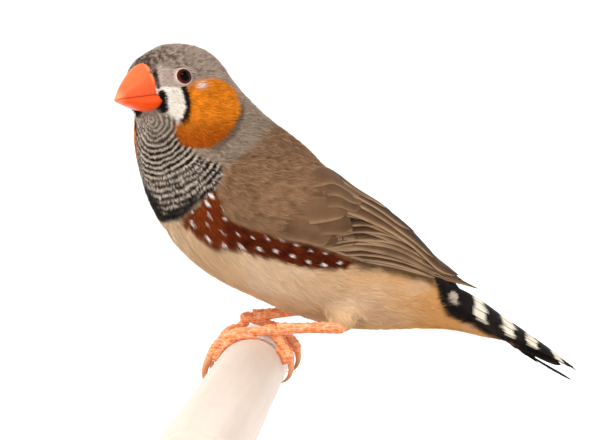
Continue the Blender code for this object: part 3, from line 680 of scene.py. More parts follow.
def eyelids(side):
    # bare beaded skin round the opening, which sinks under the feathers at its outer edge
    centre, gaze, across, over = eyeFrame(side)
    radius, (rows, sides) = eyeWay["radius"], eyeWay["lidMesh"]
    share = np.repeat(np.arange(rows) / (rows - 1), sides)
    turn = np.tile(2 * math.pi * np.arange(sides) / sides, rows)
    out = eyeWay["opening"] - 0.12 + (eyeWay["ring"] - eyeWay["opening"] + 0.12) * share
    ring = across * np.cos(turn)[:, None] * 1.03 + over * np.sin(turn)[:, None] * 0.97
    seat = centre + ring * out[:, None]
    globe = np.where(out < radius, np.sqrt(np.maximum(0.02, radius**2 - out**2)), 0.0)
    lid = eyeWay["lid"] * np.sin(math.pi * np.minimum(1.0, share * 2.1)) ** 0.8
    crease = 0.04 * np.cos(6 * math.pi * share) * (1 + 0.5 * np.sin(19 * turn)) * (share < 0.7)
    height = globe + 0.05 + lid + crease
    hits = [skinTree.ray_cast(Vector(q), Vector(-gaze), 9.0)[3] for q in seat + gaze * 6]
    surface = np.array([h - 0.5 if far is None else 6 - far for far, h in zip(hits, height)])
    into = step(0.12, 0.30, share)
    height = np.maximum(height * (1 - into) + (surface - 0.1 * share) * into, globe + 0.08)
    height[:sides] = globe[:sides] - 0.12
    points = seat + gaze * height[:, None]
    quads = hoops(np.arange(rows * sides).reshape(rows, sides))
    if side < 0:
        quads = quads[:, ::-1]
    colours = blend(eyeWay["skin"], eyeWay["rim"], step(0.1, 0.0, share))
    return points, quads, blend(colours, markings(points), into)


allPoints, allFaces, allTints = [skinPoints], [skinFaces], [markings(skinPoints)]
for side in (1, -1):
    points, faces, tints = eyelids(side)
    allFaces.append(faces + sum(len(p) for p in allPoints))
    allPoints.append(points)
    allTints.append(tints)
makePiece("skin", np.concatenate(allPoints), allFaces, skinFinish, np.concatenate(allTints),
          replaced=fleshNodes)

print("coat")
eyeSeats = [eyeFrame(side)[:2] for side in (1, -1)]
legWay = {
    "left": {"thigh": (17.4, -6.2, 10.8), "heel": (17.0, -7.0, 8.6), "toeRoot": (5.2, -7.0, 8.2),
             "hindLift": 0.0, "outward": -1},
    "right": {"thigh": (15.2, 6.4, 10.5), "heel": (14.6, 6.2, 11.0), "toeRoot": (-0.4, 6.0, 9.3),
              "hindLift": 0.6, "outward": 1},
}
wingWay = {"primaries": 8, "secondaries": 6, "tertials": 4, "greater": 9,
           # towards its tip the wing leaves the body: stations, top, lower edge and distance from the middle
           "tip": ((28, 30, 33.3, 36.5, 40.2, 42.0, 44.4), (27.8, 26.0, 23.4, 20.4, 17.4, 16.1, 14.8),
                   (19.2, 18.7, 17.8, 16.9, 15.8, 15.3, 14.3), (9.0, 8.2, 6.6, 5.3, 3.6, 2.8, 1.6))}


def wingPoint(station, share, side, height):
    # a point over the folded wing's bed, in millimetres out from the bed
    row, middle, rise = oval(trunkSections, station)
    edges = readCurve(wingSections, station)
    along = (station + 10.4) / 54.8
    ends = np.minimum(1.0, np.minimum(6 * along, 5 * (1 - along)))
    inner = np.clip(share, 0, 1)
    swell = np.minimum(1.0, np.minimum(4 * inner + 0.25, 4 * (1 - inner))) * (
        0.35 + 0.65 * np.maximum(ends, 0))
    grow = 0.23 + 0.95 * swell + height
    angle = np.radians(edges[:, 1] + (edges[:, 2] - edges[:, 1]) * share)
    hugging = np.stack([
        station, side * (row[:, 3] + grow) * np.sin(angle), middle + (rise + grow) * np.cos(angle)], 1)
    top, low, wide = (np.interp(station, wingWay["tip"][0], line) for line in wingWay["tip"][1:])
    aside = (wide - 0.3) * np.sin(inner * math.pi / 2) ** 0.8 + 0.3 + height
    clear = np.stack([station, side * aside, top + (low - top) * share + height], 1)
    return fromTrunk(hugging + (clear - hugging) * step(30, 38, station)[:, None])


def wingSpan(station):
    row, _, rise = oval(trunkSections, station)
    edges = readCurve(wingSections, station)
    hugging = np.radians(edges[:, 2] - edges[:, 1]) * (rise + row[:, 3]) / 2 + 0.6
    stations, top, low, wide = wingWay["tip"]
    clear = np.interp(station, stations, np.hypot(np.subtract(top, low), wide))
    return hugging + (clear - hugging) * step(30, 38, station)


def lie(p):
    # the way that feathers point, before it is laid on the surface
    back = np.array([-1.0, 0.0, -0.35]) @ headAxes
    onHead = unit(unit(p - fromHead((7.5, 0.0, -1.0))) + 0.35 * back)
    trunk = toTrunk(p)
    x = trunk[:, 0]
    row = readCurve(trunkSections, x)
    share = np.clip((trunk[:, 2] - row[:, 2]) / np.maximum(row[:, 1] - row[:, 2], 1.0), 0, 1)
    low = np.interp(x, (-20, -8, 5, 18, 34, 45), (-68, -48, -28, -8, -8, -25))
    slope = np.radians(low + (np.interp(x, (-12, 5, 40), (-36, -41, -37)) - low) * step(0.3, 0.75, share))
    onBody = fromTrunk(np.stack([np.cos(slope), 0 * slope, np.sin(slope)], 1))
    across = wingShare(trunk)
    onWing = step(-0.3, 0.3, across) * step(1.08, 0.98, across) * step(-9, 0, x)
    side, inner = np.where(trunk[:, 1] < 0, -1.0, 1.0), np.clip(across, 0, 1)
    line = wingPoint(x + 1, inner, side, 0 * side) - wingPoint(x, inner, side, 0 * side)
    onBody = onBody + (unit(line) - onBody) * (0.8 * onWing)[:, None]
    flow = onBody + (onHead - onBody) * step(-5, 5, aboveNeck(p))[:, None]
    for leg in legWay.values():
        near = step(5.5, 3.2, np.linalg.norm(p - np.array(leg["thigh"]) - (0, 0, -0.6), axis=1))
        flow = flow + ((0.25, 0.0, -1.0) - flow) * (near * step(12.5, 10.5, p[:, 2]))[:, None]
    return flow


coatWay = {
    # length, spacing, barbs in a tuft, barb width and how far tufts stand off, for each kind of feather
    "face": (1.0, 0.36, 7, 0.068, 0.32),
    "crown": (1.7, 0.43, 9, 0.07, 0.5),
    "neck": (2.2, 0.53, 12, 0.076, 0.5),
    "back": (2.7, 0.56, 14, 0.088, 0.46),
    "covert": (3.6, 0.68, 20, 0.086, 0.46),
    "belly": (4.2, 0.68, 18, 0.076, 0.5),
    "thigh": (2.4, 0.50, 11, 0.085, 0.55),
}
coatKinds = tuple(coatWay)


def kindOf(p):
    head, trunk, above = toHead(p), toTrunk(p), aboveNeck(p)
    x, share = trunk[:, 0], wingShare(trunk)
    lower = np.interp(x, *lowEdge)
    kind = np.full(len(p), coatKinds.index("back"))
    # later rows win over earlier ones
    for name, where in (
        ("belly", trunk[:, 2] < np.interp(x, (-20, -8, 18, 34, 45), (30, 32, 24, 18, 8))),
        ("neck", above > -9), ("crown", above > 1.5), ("face", (above > 0) & (head[:, 0] > -1.0)),
        ("covert", (share > 0.12) & (share < lower) & (x > -1 + 6 * (1 - share))),
        ("neck", (share > lower) & (share < 1.1)),
        *(("thigh", (np.linalg.norm(p - np.array(leg["thigh"]), axis=1) < 4.4) & (p[:, 2] < 11.5))
          for leg in legWay.values()),
    ):
        kind[where] = coatKinds.index(name)
    return kind


def perKind(column, kinds):
    return np.array([coatWay[k][column] for k in coatKinds])[kinds]


def scatter():
    # roots spread evenly over the skin, closer on the face than on the body
    a, b, c, d = (skinPoints[skinFaces[:, k]] for k in range(4))
    corners = np.concatenate([np.stack([a, b, c], 1), np.stack([a, c, d], 1)])
    areas = np.linalg.norm(np.cross(corners[:, 1] - corners[:, 0], corners[:, 2] - corners[:, 0]), axis=1) / 2
    weight = areas / perKind(1, kindOf(corners.mean(1))) ** 2
    wanted = int(weight.sum() * 6)
    t = corners[rng.choice(len(corners), wanted, p=weight / weight.sum())]
    r1, r2 = np.sqrt(rng.random(wanted)), rng.random(wanted)
    p = t[:, 0] * (1 - r1)[:, None] + t[:, 1] * (r1 * (1 - r2))[:, None] + t[:, 2] * (r1 * r2)[:, None]
    n = unit(np.cross(t[:, 1] - t[:, 0], t[:, 2] - t[:, 0]))
    kind = kindOf(p)
    kept, cells = [], {}
    around = list(itertools.product((-1, 0, 1), repeat=3))
    # cells are a little wider than the widest spacing
    keys = np.floor(p / 0.8).astype(int).tolist()
    for k, ((x, y, z), (i, j, m), gap) in enumerate(zip(p.tolist(), keys, (perKind(1, kind) ** 2).tolist())):
        near = (q for dx, dy, dz in around for q in cells.get((i + dx, j + dy, m + dz), ()))
        if all((q[0] - x) ** 2 + (q[1] - y) ** 2 + (q[2] - z) ** 2 >= gap for q in near):
            cells.setdefault((i, j, m), []).append((x, y, z))
            kept.append(k)
    return p[kept], n[kept], kind[kept]


rootPoints, rootNormals, rootKinds = scatter()
print("roots", len(rootPoints))


def fromEye(p, seat):
    # distance from an eye's line of sight, and distance ahead of the eye's middle
    centre, gaze = seat
    ahead = (p - centre) @ gaze
    return np.linalg.norm(p - centre - ahead[:, None] * gaze, axis=1), ahead


def bare(p):
    # where no tufts grow: eye openings, the bill's seat, under the flight feathers, the tail's blades
    head, trunk = toHead(p), toTrunk(p)
    x, share = trunk[:, 0], wingShare(trunk)
    row = readCurve(billSections, head[:, 0])
    edge = np.interp(head[:, 2], *skinWay["billEdge"])
    none = ((head[:, 0] > edge + 0.15) & (np.abs(head[:, 1]) < row[:, 2] + 1.5)
            & (head[:, 2] < row[:, 1] + 1.5) & (head[:, 2] > row[:, 3] - 1.5))
    for seat in eyeSeats:
        off, ahead = fromEye(p, seat)
        none |= (off < 1.64) & (ahead > -0.5)
    start = np.interp(share, (-0.05, 0.1, 0.3, 0.7, 1.0), (24.0, 21.0, 17.0, 9.0, 5.0))
    none |= (share > -0.1) & (share < np.interp(x, *lowEdge) + 0.01) & (x > start)
    rear = np.interp(x, (33, 34.9, 35.5, 36.6, 37.8, 42.1, 44.4, 49, 52),
                     (22, 16.1, 13.2, 10.8, 9.6, 7.9, 6.9, 5.1, 3.7))
    return none | ((x > 34) & (trunk[:, 2] > rear)) | (x > 49)


keep = ~bare(rootPoints)
rootPoints, rootNormals, rootKinds = rootPoints[keep], rootNormals[keep], rootKinds[keep]
print("tufts", len(rootPoints))


def laidPaths(p, n, lengths, stations):
    # each tuft's middle line, stepped over the skin
    heading = lie(p)
    heading = unit(heading - (heading * n).sum(1)[:, None] * n)
    wander = noise(p, 2.5, 21) * 0.1 + rng.normal(0, 0.06, len(p))
    cross = np.cross(n, heading)
    heading = unit(heading + cross * wander[:, None])
    places, normals, headings = [p], [n], [heading]
    for k in range(1, stations):
        ahead = places[-1] + headings[-1] * (lengths / (stations - 1))[:, None]
        newPlace, newNormal = np.empty_like(ahead), np.empty_like(ahead)
        for j, q in enumerate(ahead.tolist()):
            hit = skinTree.find_nearest(q)
            newPlace[j], newNormal[j] = hit[0], hit[1]
        flow = unit(0.6 * headings[-1] + 0.4 * unit(lie(newPlace)))
        newNormal = unit(0.5 * newNormal + 0.5 * normals[-1])
        flow = unit(flow - (flow * newNormal).sum(1)[:, None] * newNormal)
        places.append(newPlace)
        normals.append(newNormal)
        headings.append(flow)
    return np.stack(places, 1), np.stack(normals, 1), np.stack(headings, 1)


# feathers grow longer away from the bill
billAway = np.linalg.norm(rootPoints - fromHead((4.5, 0, -1.0)), axis=1)
sizes = perKind(0, rootKinds) * np.where(rootKinds <= 1, 0.75 + 0.45 * step(2, 14, billAway), 1.0)
sizes = sizes * rng.uniform(0.85, 1.15, len(sizes))
paths = laidPaths(rootPoints, rootNormals, sizes, 4)
# tufts whose tips would lie over an eye are left out
keep = np.ones(len(rootPoints), bool)
for seat, k in itertools.product(eyeSeats, (2, 3)):
    off, ahead = fromEye(paths[0][:, k], seat)
    keep &= ~((off < 1.54) & (ahead > 0))
rootPoints, rootKinds, sizes = rootPoints[keep], rootKinds[keep], sizes[keep]
paths = [values[keep] for values in paths]
bakeRoots = bakePlace(rootPoints)
# half the width that a tuft or a blade takes on the map
bakeSpan = 0.0015
print("paths")


def readPath(values, share):
    # values (tufts, stations, 3) read at share (tufts, n)
    last = values.shape[1] - 1
    at = np.clip(share * last, 0, last - 1e-6)
    k = np.floor(at).astype(int)
    t = (at - k)[..., None]
    rows = np.arange(len(values))[:, None]
    return values[rows, k] * (1 - t) + values[rows, k + 1] * t


def makeCoat(name, chosen, kindName):
    # a fan of tapering barbs for every tuft, its tips on a rounded feather edge
    barbs, width, stand = coatWay[kindName][2:]
    count = len(chosen)
    size = sizes[chosen][:, None]
    theta = np.linspace(-1.25, 1.25, barbs)[None, :] + rng.normal(0, 0.16, (count, barbs))
    reachTip = 0.78 + 0.22 * np.cos(theta) + rng.normal(0, 0.035, (count, barbs))
    sideTip = 0.34 * np.sin(theta) + rng.normal(0, 0.02, (count, barbs))
    start = np.clip(0.42 * np.cos(theta) ** 2 * rng.uniform(0.3, 1.1, (count, barbs)), 0.0, 0.55)
    lift = rng.uniform(0.75, 1.2, (count, barbs)) + (rng.random((count, barbs)) < 0.04) * 0.5
    shadeTuft = rng.normal(0, 0.03 if kindName == "belly" else 0.055, (count, 1))
    mottle = {"belly": 0.05, "thigh": 0.05, "covert": 0.10, "back": 0.11}.get(kindName, 0.17)
    shadeBarb = rng.normal(0, mottle, (count, barbs))
    rollBarb = rng.uniform(-0.5, 0.5, (count, barbs)) * (0.45 if kindName in ("back", "covert") else 1.0)
    shares, rows = (0.0, 0.36, 0.72, 1.0), []
    for share in shares:
        along = start + (reachTip - start) * share
        aside = sideTip * share**1.35
        at = np.clip(along, 0, 1)
        base, normal, heading = (readPath(values[chosen], at) for values in paths)
        normal, heading = unit(normal), unit(heading)
        over = np.maximum(along - 1, 0) * size
        height = -0.12 + (stand + 0.12) * np.clip(along, 0, 1.1) ** 0.85 * lift
        middle = base + heading * over[..., None] + np.cross(normal, heading) * (aside * size)[..., None]
        rows.append((middle + normal * height[..., None], normal, along, aside))
    points, tones, bakes = [], [], []
    jitter = rng.normal(0, 0.05 if kindName in ("face", "neck") else 0.12, (count, barbs, 3))
    for k, (middle, normal, along, aside) in enumerate(rows):
        ahead = rows[min(k + 1, 3)][0] - rows[max(k - 1, 0)][0]
        wide = unit(np.cross(normal, unit(ahead))) + normal * rollBarb[..., None]
        half = width / 2 * (0.85, 1.15, 0.9, 0.0)[k]
        colour = markings((middle + jitter).reshape(-1, 3)).reshape(count, barbs, 3)
        # tufts and barbs vary at random in tone, and each barb is darker towards its root as painted shade
        colour = colour * (1 + shadeTuft + shadeBarb + 0.16 * (shares[k] - 0.62))[..., None]
        for s in (-1, 1) if k < 3 else (0,):
            points.append(middle + wide * (half * s))
            tones.append(colour)
            spot = np.stack([aside * 4.0 + 0.1 * s, along * 2 - 1], -1) * bakeSpan
            bakes.append(bakeRoots[chosen][:, None, :] + np.clip(spot, -bakeSpan, bakeSpan))
    points, tones, bakes = (np.stack(v, 2).reshape(-1, v[0].shape[-1]) for v in (points, tones, bakes))
    first = np.arange(count * barbs)[:, None] * 7
    quads = np.concatenate([first + np.array([0, 1, 3, 2]), first + np.array([2, 3, 5, 4])])
    tris = first + np.array([4, 5, 6])
    makePiece(name, points, [quads, tris], barbFinish, np.clip(tones, 0.0, 1.0), bake=bakes)
    print(name, "tufts", count, "triangles", count * barbs * 5)


trianglesInPiece = 190000
for kindName in coatKinds:
    chosen = np.nonzero(rootKinds == coatKinds.index(kindName))[0]
    order = chosen[np.argsort(bakeRoots[chosen, 1])]
    pieces = max(1, math.ceil(len(order) * coatWay[kindName][2] * 5 / trianglesInPiece))
    for k, share in enumerate(np.array_split(order, pieces)):
        makeCoat(f"coat_{kindName}_{k + 1}", share, kindName)

print("flight feathers")
vaneWay = {"thickness": 0.07, "shaft": 0.03, "camber": 0.05, "taper": 0.35, "rows": 18,
           "columns": (-1, -0.92, -0.72, -0.38, -0.07, 0, 0.07, 0.38, 0.72, 0.92, 1)}


class Vanes:
    # gathers closed feather blades for one piece
    def __init__(self):
        self.points, self.faces, self.tones, self.bakes, self.maps, self.count = [], [], [], [], [], 0

    def add(self, place, length, half, paint, blunt, rows=vaneWay["rows"]):
        # place(along, across mm, height) gives points; along 0 to 1
        columns = np.array(vaneWay["columns"], float)
        along = 1 - (1 - np.linspace(0, 1, rows)) ** 1.5
        rounding = np.sqrt(np.clip(1 - np.clip((along - blunt) / (1 - blunt), 0, 1) ** 2.2, 0, 1))
        outline = np.maximum(np.minimum(1.0, (along / vaneWay["taper"]) ** 0.6 + 0.25) * rounding, 0.02)
        outline = outline * (1 + 0.04 * np.sin(along * rng.uniform(9, 16) + rng.uniform(0, 6)))
        s, c = np.meshgrid(along, columns, indexing="ij")
        wide = c * outline[:, None] * half
        # the rounded tip pulls its edges back
        s = s - 0.06 * np.abs(c) ** 2 * step(blunt, 1, s) * min(1.0, half / length * 4)
        shaft = np.exp(-((c / 0.06) ** 2)) * vaneWay["shaft"]
        height = vaneWay["camber"] * (1 - c**2) * half / 2.5 + shaft
        s, c, wide, height = (values.ravel() for values in (s, c, wide, height))
        top = place(s, wide, height + vaneWay["thickness"])
        bottom = place(s, wide, height)
        n = len(top)
        index = np.arange(n).reshape(rows, -1)
        up = np.stack([index[:-1, :-1], index[1:, :-1], index[1:, 1:], index[:-1, 1:]], -1).reshape(-1, 4)
        ring = np.concatenate([index[0, :], index[1:, -1], index[-1, -2::-1], index[-2:0:-1, 0]])
        after = np.roll(ring, -1)
        faces = np.concatenate([up, up[:, ::-1] + n, np.stack([ring, after, after + n, ring + n], -1)])
        # faces point outwards whichever side of the bird the blade is on
        sample = up[len(up) // 2]
        a, b, _, d = top[sample]
        if np.cross(b - a, d - a) @ (a - bottom[sample[0]]) < 0:
            faces = faces[:, ::-1]
        colours = paint(s, c, top)
        bake = bakePlace(top[index[0, len(columns) // 2]][None]) + np.stack([c, s * 2 - 1], 1) * bakeSpan
        chart = np.stack([wide, s * length], 1)
        # the underside of a blade takes its colours darkened to 0.7, as painted shade
        for gathered, halves in ((self.points, (top, bottom)), (self.tones, (colours, colours * 0.7)),
                                 (self.bakes, (bake, bake)), (self.maps, (chart, chart))):
            gathered.append(np.concatenate(halves))
        self.faces.append(faces + self.count)
        self.count += 2 * n

    def finish(self, name):
        points, tones, bakes, maps = map(np.concatenate, (self.points, self.tones, self.bakes, self.maps))
        makePiece(name, points, [np.concatenate(self.faces)], vaneFinish, np.clip(tones, 0, 1),
                  bake=bakes, vane=maps)
        print(name, "faces", sum(len(f) for f in self.faces))


wingTones = {"vane": tone(104, 79, 60), "dark": tone(48, 36, 29), "edge": tone(186, 151, 117),
             "covert": tone(120, 90, 66)}


def wingPaint(base, edgeTone, edgeWidth, jitter, contrast):
    def paint(s, c, points):
        colour = base * (jitter + waves(points, (0.18, 5.0, 34), (0.13, 1.5, 31)))[:, None]
        dark = contrast * (0.85 + 0.3 * noise(points, 3.0, 33)) * step(0.98, 0.6, np.abs(c + 0.1))
        colour = blend(colour, wingTones["dark"], dark * step(0.0, 0.4, s))
        edge = np.maximum(step(1 - 1.3 * edgeWidth, 1 - 0.5 * edgeWidth, c), step(0.98, 1.0, s))
        return blend(colour, edgeTone, (0.35 + 0.6 * contrast) * edge * (0.7 + 0.5 * noise(points, 1.8, 32)))
    return paint


def wingVane(vanes, side, stations, shares, half, heights, base, edgeTone, edgeWidth, lean, blunt, contrast):
    (x0, x1), (f0, f1), (h0, h1) = stations, shares, heights
    jitter, bow = rng.normal(0, 0.07), rng.normal(0, 0.014)

    def place(s, wide, height):
        station = np.clip(x0 + (x1 - x0) * s, -10.3, 44.4)
        span = wingSpan(station)
        low = np.interp(station, *lowEdge) - 0.02
        share = np.minimum(f0 + (f1 - f0) * s + bow * np.sin(math.pi * s),
                           low - 0.9 * half / span) + wide / span
        # roots lie under the small feathers, and the innermost edges lie down on the back
        rise = h0 + (h1 - h0) * s + lean * wide / half * step(0, 0.3, s) - 0.9 * step(8.5, 1.0, s * (x1 - x0))
        return wingPoint(station, share, side, rise - 0.6 * step(0.14, -0.03, share) + height)

    vanes.add(place, abs(x1 - x0), half, wingPaint(base, edgeTone, edgeWidth, jitter, contrast), blunt)


def counted(key):
    # the number of each feather in a row, and its share of the way through the row
    return [(k, k / (wingWay[key] - 1)) for k in range(wingWay[key])]


for side, name in ((-1, "left"), (1, "right")):
    vanes = Vanes()
    for k, t in counted("primaries"):
        wingVane(vanes, side, (3.0, 44.3 - 6.0 * t**1.4), (1.0 - 0.14 * t, 0.84 - 0.56 * t), 1.6,
                 (-0.12 + 0.05 * k, -0.10 + 0.06 * k), wingTones["vane"] * (0.78 + 0.14 * t),
                 wingTones["edge"] * 0.95, 0.12, 0.12, 0.76, 1.0)
    for k, t in counted("secondaries"):
        wingVane(vanes, side, (5.0, 37.0 - 4.0 * t), (0.84 - 0.34 * t, 0.64 - 0.36 * t), 2.5,
                 (0.06 + 0.03 * k, 0.10 + 0.04 * k), wingTones["vane"] * 1.04,
                 wingTones["edge"], 0.1, 0.14, 0.78, 0.75)
    # the tertials darken towards the wing's upper edge: partly their own dark centres, partly painted shade
    # in the gap along the top
    for k, t in counted("tertials"):
        wingVane(vanes, side, (9.0, 40.0 - 4.4 * k), (0.46 - 0.11 * k, 0.42 - 0.11 * k), 3.0,
                 (0.46 + 0.05 * k, 0.52 + 0.07 * k), wingTones["covert"] * (0.92 - 0.06 * k),
                 wingTones["edge"], 0.12, 0.14, 0.74, 0.92)
    # the greater coverts' darker middles are partly their own colour, partly painted shade near their tips
    for k, t in counted("greater"):
        tip = 13.0 + 10.0 * t + 1.6 * math.sin(2.6 * k) + rng.normal(0, 0.5)
        wingVane(vanes, side, (tip - 14.0, tip), (0.98 - 0.84 * t, 0.98 - 0.80 * t), 2.1,
                 (0.54 + 0.02 * k, 0.58 + 0.02 * k), wingTones["covert"] * (1.02 - 0.1 * (k % 2)),
                 wingTones["edge"] * 0.78, 0.1, 0.12, 0.72, 0.4)
    vanes.finish("coat_wing_" + name)

tailTones = {"black": tone(30, 25, 24), "blade": tone(52, 42, 38), "tip": tone(196, 160, 126),
             "white": tone(238, 226, 206)}
tailWay = {"bars": (37.6, 44.0, 49.8, 54.4, 59.8), "barHalf": 1.05, "barRows": 46, "blades": 6,
           # tip, angle, shift of the bars, how far across they reach and bluntness of each barred feather
           "barred": ((61.6, 112, 0.3, 0.3, 0.3), (62.0, 78, -0.25, 1.3, 0.84), (63.6, 44, 0.15, 1.3, 0.9),
                      (60.5, 16, -0.1, 1.3, 0.84)),
           # the two thin outer feathers: where they start, their length, then tip and half width of each
           "outerRoot": (48.0, -2.9, 5.6), "outerLength": 17.0,
           "outerTips": (((62.4, -3.2, -3.2), 0.32), ((60.4, -3.0, -0.2), 0.8))}


def tailVane(vanes, side, stations, angles, half, heights, paint, blunt, rows=vaneWay["rows"]):
    (x0, x1), (a0, a1), (h0, h1) = stations, angles, heights

    def place(s, wide, height):
        station = x0 + (x1 - x0) * s
        row, middle, rise = oval(tailSections, station)
        angle = a0 + (a1 - a0) * s + np.degrees(wide / np.maximum((row[:, 3] + rise) / 2, 0.9))
        turn, out = np.radians(angle), h0 + (h1 - h0) * s + height
        return fromTrunk(np.stack([
            station, side * (row[:, 3] + out) * np.sin(turn), middle + (rise + out) * np.cos(turn)], 1))

    vanes.add(place, abs(x1 - x0), half, paint, blunt, rows)


def bladePaint(s, c, points):
    colour = tailTones["blade"] * waves(points, (0.1, 1.4, 41))[:, None]
    return blend(colour, tailTones["tip"], 0.25 * step(0.88, 1.0, np.abs(c)))


def barPaint(shift, low):
    def paint(s, c, points):
        x = toTrunk(points)[:, 0] + 0.5 * noise(points, 1.3, 43)
        white = np.zeros(len(s))
        for centre in tailWay["bars"]:
            # the bar at the tail's root is narrower and fainter
            width, strength = (0.6, 0.7) if centre < 40 else (1.0, 1.0)
            half = tailWay["barHalf"] * width
            white = np.maximum(white, strength * step(half + 0.25, half - 0.15, np.abs(x - centre - shift)))
        colour = tailTones["black"] * waves(points, (0.2, 1.0, 44))[:, None]
        return blend(colour, tailTones["white"],
                     white * step(low, low - 0.2, c) * step(0.03, 0.08, np.abs(c)))
    return paint


vanes = Vanes()
for side in (-1, 1):
    for k in range(tailWay["blades"]):
        tailVane(vanes, side, (39.0, 64.4 - 0.8 * k), (10 + 15 * k, 14 + 20 * k), 1.8,
                 (-0.8, -0.5 + 0.04 * (5 - k)), bladePaint, 0.9)
    for k, (tip, angle, shift, low, blunt) in enumerate(tailWay["barred"]):
        tailVane(vanes, side, (36.5, tip), (angle, angle * 0.9), 2.3, (-0.45 + 0.05 * k, -0.06),
                 barPaint(shift, low), blunt, tailWay["barRows"])
for tipPlace, half in tailWay["outerTips"]:
    def outerBlade(s, wide, height):
        middle = tailWay["outerRoot"] + (np.array(tipPlace) - tailWay["outerRoot"]) * s[:, None]
        middle[:, 2] += -0.2 * np.sin(math.pi * s) + height + 0.75 * wide
        middle[:, 1] += 0.65 * wide
        return fromTrunk(middle)

    vanes.add(outerBlade, tailWay["outerLength"], half,
              lambda s, c, points: np.tile(tailTones["black"], (len(s), 1)), 0.8)
vanes.finish("coat_tail")

print("bill")
billWay = {"mouth": -2.7, "gap": 0.04, "tip": (12.3, 0.0, -2.9), "rings": 90, "sides": 64,
           "nostril": (4.5, 1.5),
           "upper": tone(224, 73, 31), "lower": tone(218, 66, 0), "ridge": tone(240, 112, 66),
           "hollow": tone(90, 30, 16), "end": tone(255, 176, 128), "rim": tone(250, 168, 112),
           "seam": tone(170, 52, 14)}


def fromNostril(points):
    across, over = billWay["nostril"]
    return np.hypot((points[..., 0] - across) / 0.62, (points[..., 2] - over) / 0.34)


def makeBill(upper, name):
    sides = billWay["sides"]
    stations = np.linspace(billSections[0][0], billSections[-1][0], billWay["rings"])
    station, top, half, bottom = readCurve(billSections, stations).T[..., None]
    edge = billWay["mouth"] + (billWay["gap"] if upper else -billWay["gap"])
    angles = math.pi * (np.arange(sides + 1) / sides - 0.5)
    peak = (top if upper else bottom) - billWay["mouth"]
    bulge = np.maximum(0.0, np.cos(angles)) ** (0.68 if upper else 0.8)
    line = 0.35 * np.exp(-(((station - 1.8) / 2.2) ** 2))
    points = np.stack(np.broadcast_arrays(
        station, half * np.sin(angles), edge - line * (1 - bulge) + peak * bulge), -1)
    last, middle = points[-1], points[-1, sides // 2]
    points = np.concatenate([points, [
        middle * (1 - ahead) + np.array(billWay["tip"]) * ahead + (last - middle) * shrink
        for shrink, ahead in ((0.8, 0.45), (0.5, 0.8), (0.12, 1.0))]])
    if upper:
        # a nostril near the feathers, with a raised rim
        near, y = fromNostril(points), points[..., 1]
        push = -0.28 * np.exp(-(near**2) * 1.4) + 0.08 * np.exp(-((near - 1.5) ** 2) * 4)
        y += np.where(np.abs(y) > 0.8, push * np.sign(y), 0.0)
        ridge = 0.1 + 0.25 * step(2.0, 4.5, points[..., 0]) * step(9.0, 5.5, points[..., 0])
        points[..., 2] += ridge * np.exp(-((y / 1.1) ** 2)) * (points[..., 2] > -1.0)
    flat = points.reshape(-1, 3)
    x, y, z = flat.T
    colour = np.tile(billWay["upper" if upper else "lower"], (len(flat), 1))
    if upper:
        # the upper part of the upper mandible is painted paler: a painted highlight
        colour = blend(colour, billWay["ridge"], 0.6 * step(-1.0, 2.6, z + 0.35 * x - 1.6))
        # the nostril's hollow is painted dark: painted shade
        colour = blend(colour, billWay["hollow"], step(0.9, 0.3, fromNostril(flat)) * (np.abs(y) > 0.8))
    colour = blend(colour, billWay["end"], 0.45 * step(0.82, 1.0, np.clip((x - 2) / 10.0, 0, 1)))
    rim = np.abs(x - np.interp(z, *skinWay["billEdge"]) - 0.35)
    colour = blend(colour, billWay["rim"], 0.4 * step(0.4, 0.1, rim) * step(-1.0, 0.5, z))
    # a darker band along the mouth line: painted shade in the seam between the halves
    colour = blend(colour, billWay["seam"], 0.5 * step(0.35, 0.0, np.abs(z - billWay["mouth"])))
    index = np.arange(len(flat)).reshape(-1, sides + 1)
    faces = [hoops(index, True), index[0][None, ::-1], index[-1][None]]
    if not upper:
        faces = [rows[:, ::-1] for rows in faces]
    faceOut(makePiece(
        name + "_horn", fromHead(flat), faces, billFinish, colour, replaced=(name,)).data)


billFinish, w, shader, place = makeFinish(
    "billHorn", Coat_Weight=0.06, Coat_Roughness=0.3, Specular_IOR_Level=0.22)
mottle, fine = spread(w, place, 700.0), spread(w, place, 3800.0)
feed(shader, Base_Color=(mottle * 0.3).mix(stored(w, "tint"), tone(236, 98, 20)), Roughness=fine * 0.16 + 0.3,
     Normal=bump(w, fine * 0.5 + mottle * 0.5, 0.25, 0.0001))
makeBill(True, "bill_upper")
makeBill(False, "bill_lower")

print("legs")
footWay = {"dowel": 6.35, "tarsus": 1.12, "toe": 0.85, "pad": 0.8, "steps": 7, "sides": 28, "knob": (28, 18),
           "plate": 0.95, "plateHeight": 0.15,
           "clawLength": 4.8, "clawRadius": 0.56, "clawArc": {"front": 40.0, "hind": 90.0},
           "clawMesh": (34, 20), "clawRoot": tone(216, 128, 66), "clawTip": tone(142, 82, 46),
           # lines of the toes as degrees round the perch and height over it
           "frontToe": ((-12.0, 1.5), (6.0, 1.25), (24.0, 1.3), (38.0, 1.7), (50.0, 1.7), (62.0, 1.7),
                        (74.0, 1.8)),
           "hindToe": ((-6.0, 1.2), (-24.0, 1.2), (-42.0, 1.45), (-54.0, 1.6), (-66.0, 1.7), (-77.0, 1.6)),
           # line, lean to the side and share of the line for each toe
           "toes": (("inner", "frontToe", -2.7, 0.86), ("middle", "frontToe", -0.3, 1.0),
                    ("outer", "frontToe", 2.5, 0.9), ("hind", "hindToe", 0.4, 1.0))}
legFinish, w, shader, place = makeFinish(
    "legSkin", Specular_IOR_Level=0.5, Coat_Weight=0.2, Coat_Roughness=0.25)
speckle = spread(w, place, 1500.0)
joint = w.maths("POWER", w.maths("ABSOLUTE", stored(w, "plate", 2) * 2.0 - 1.0), 7.0)
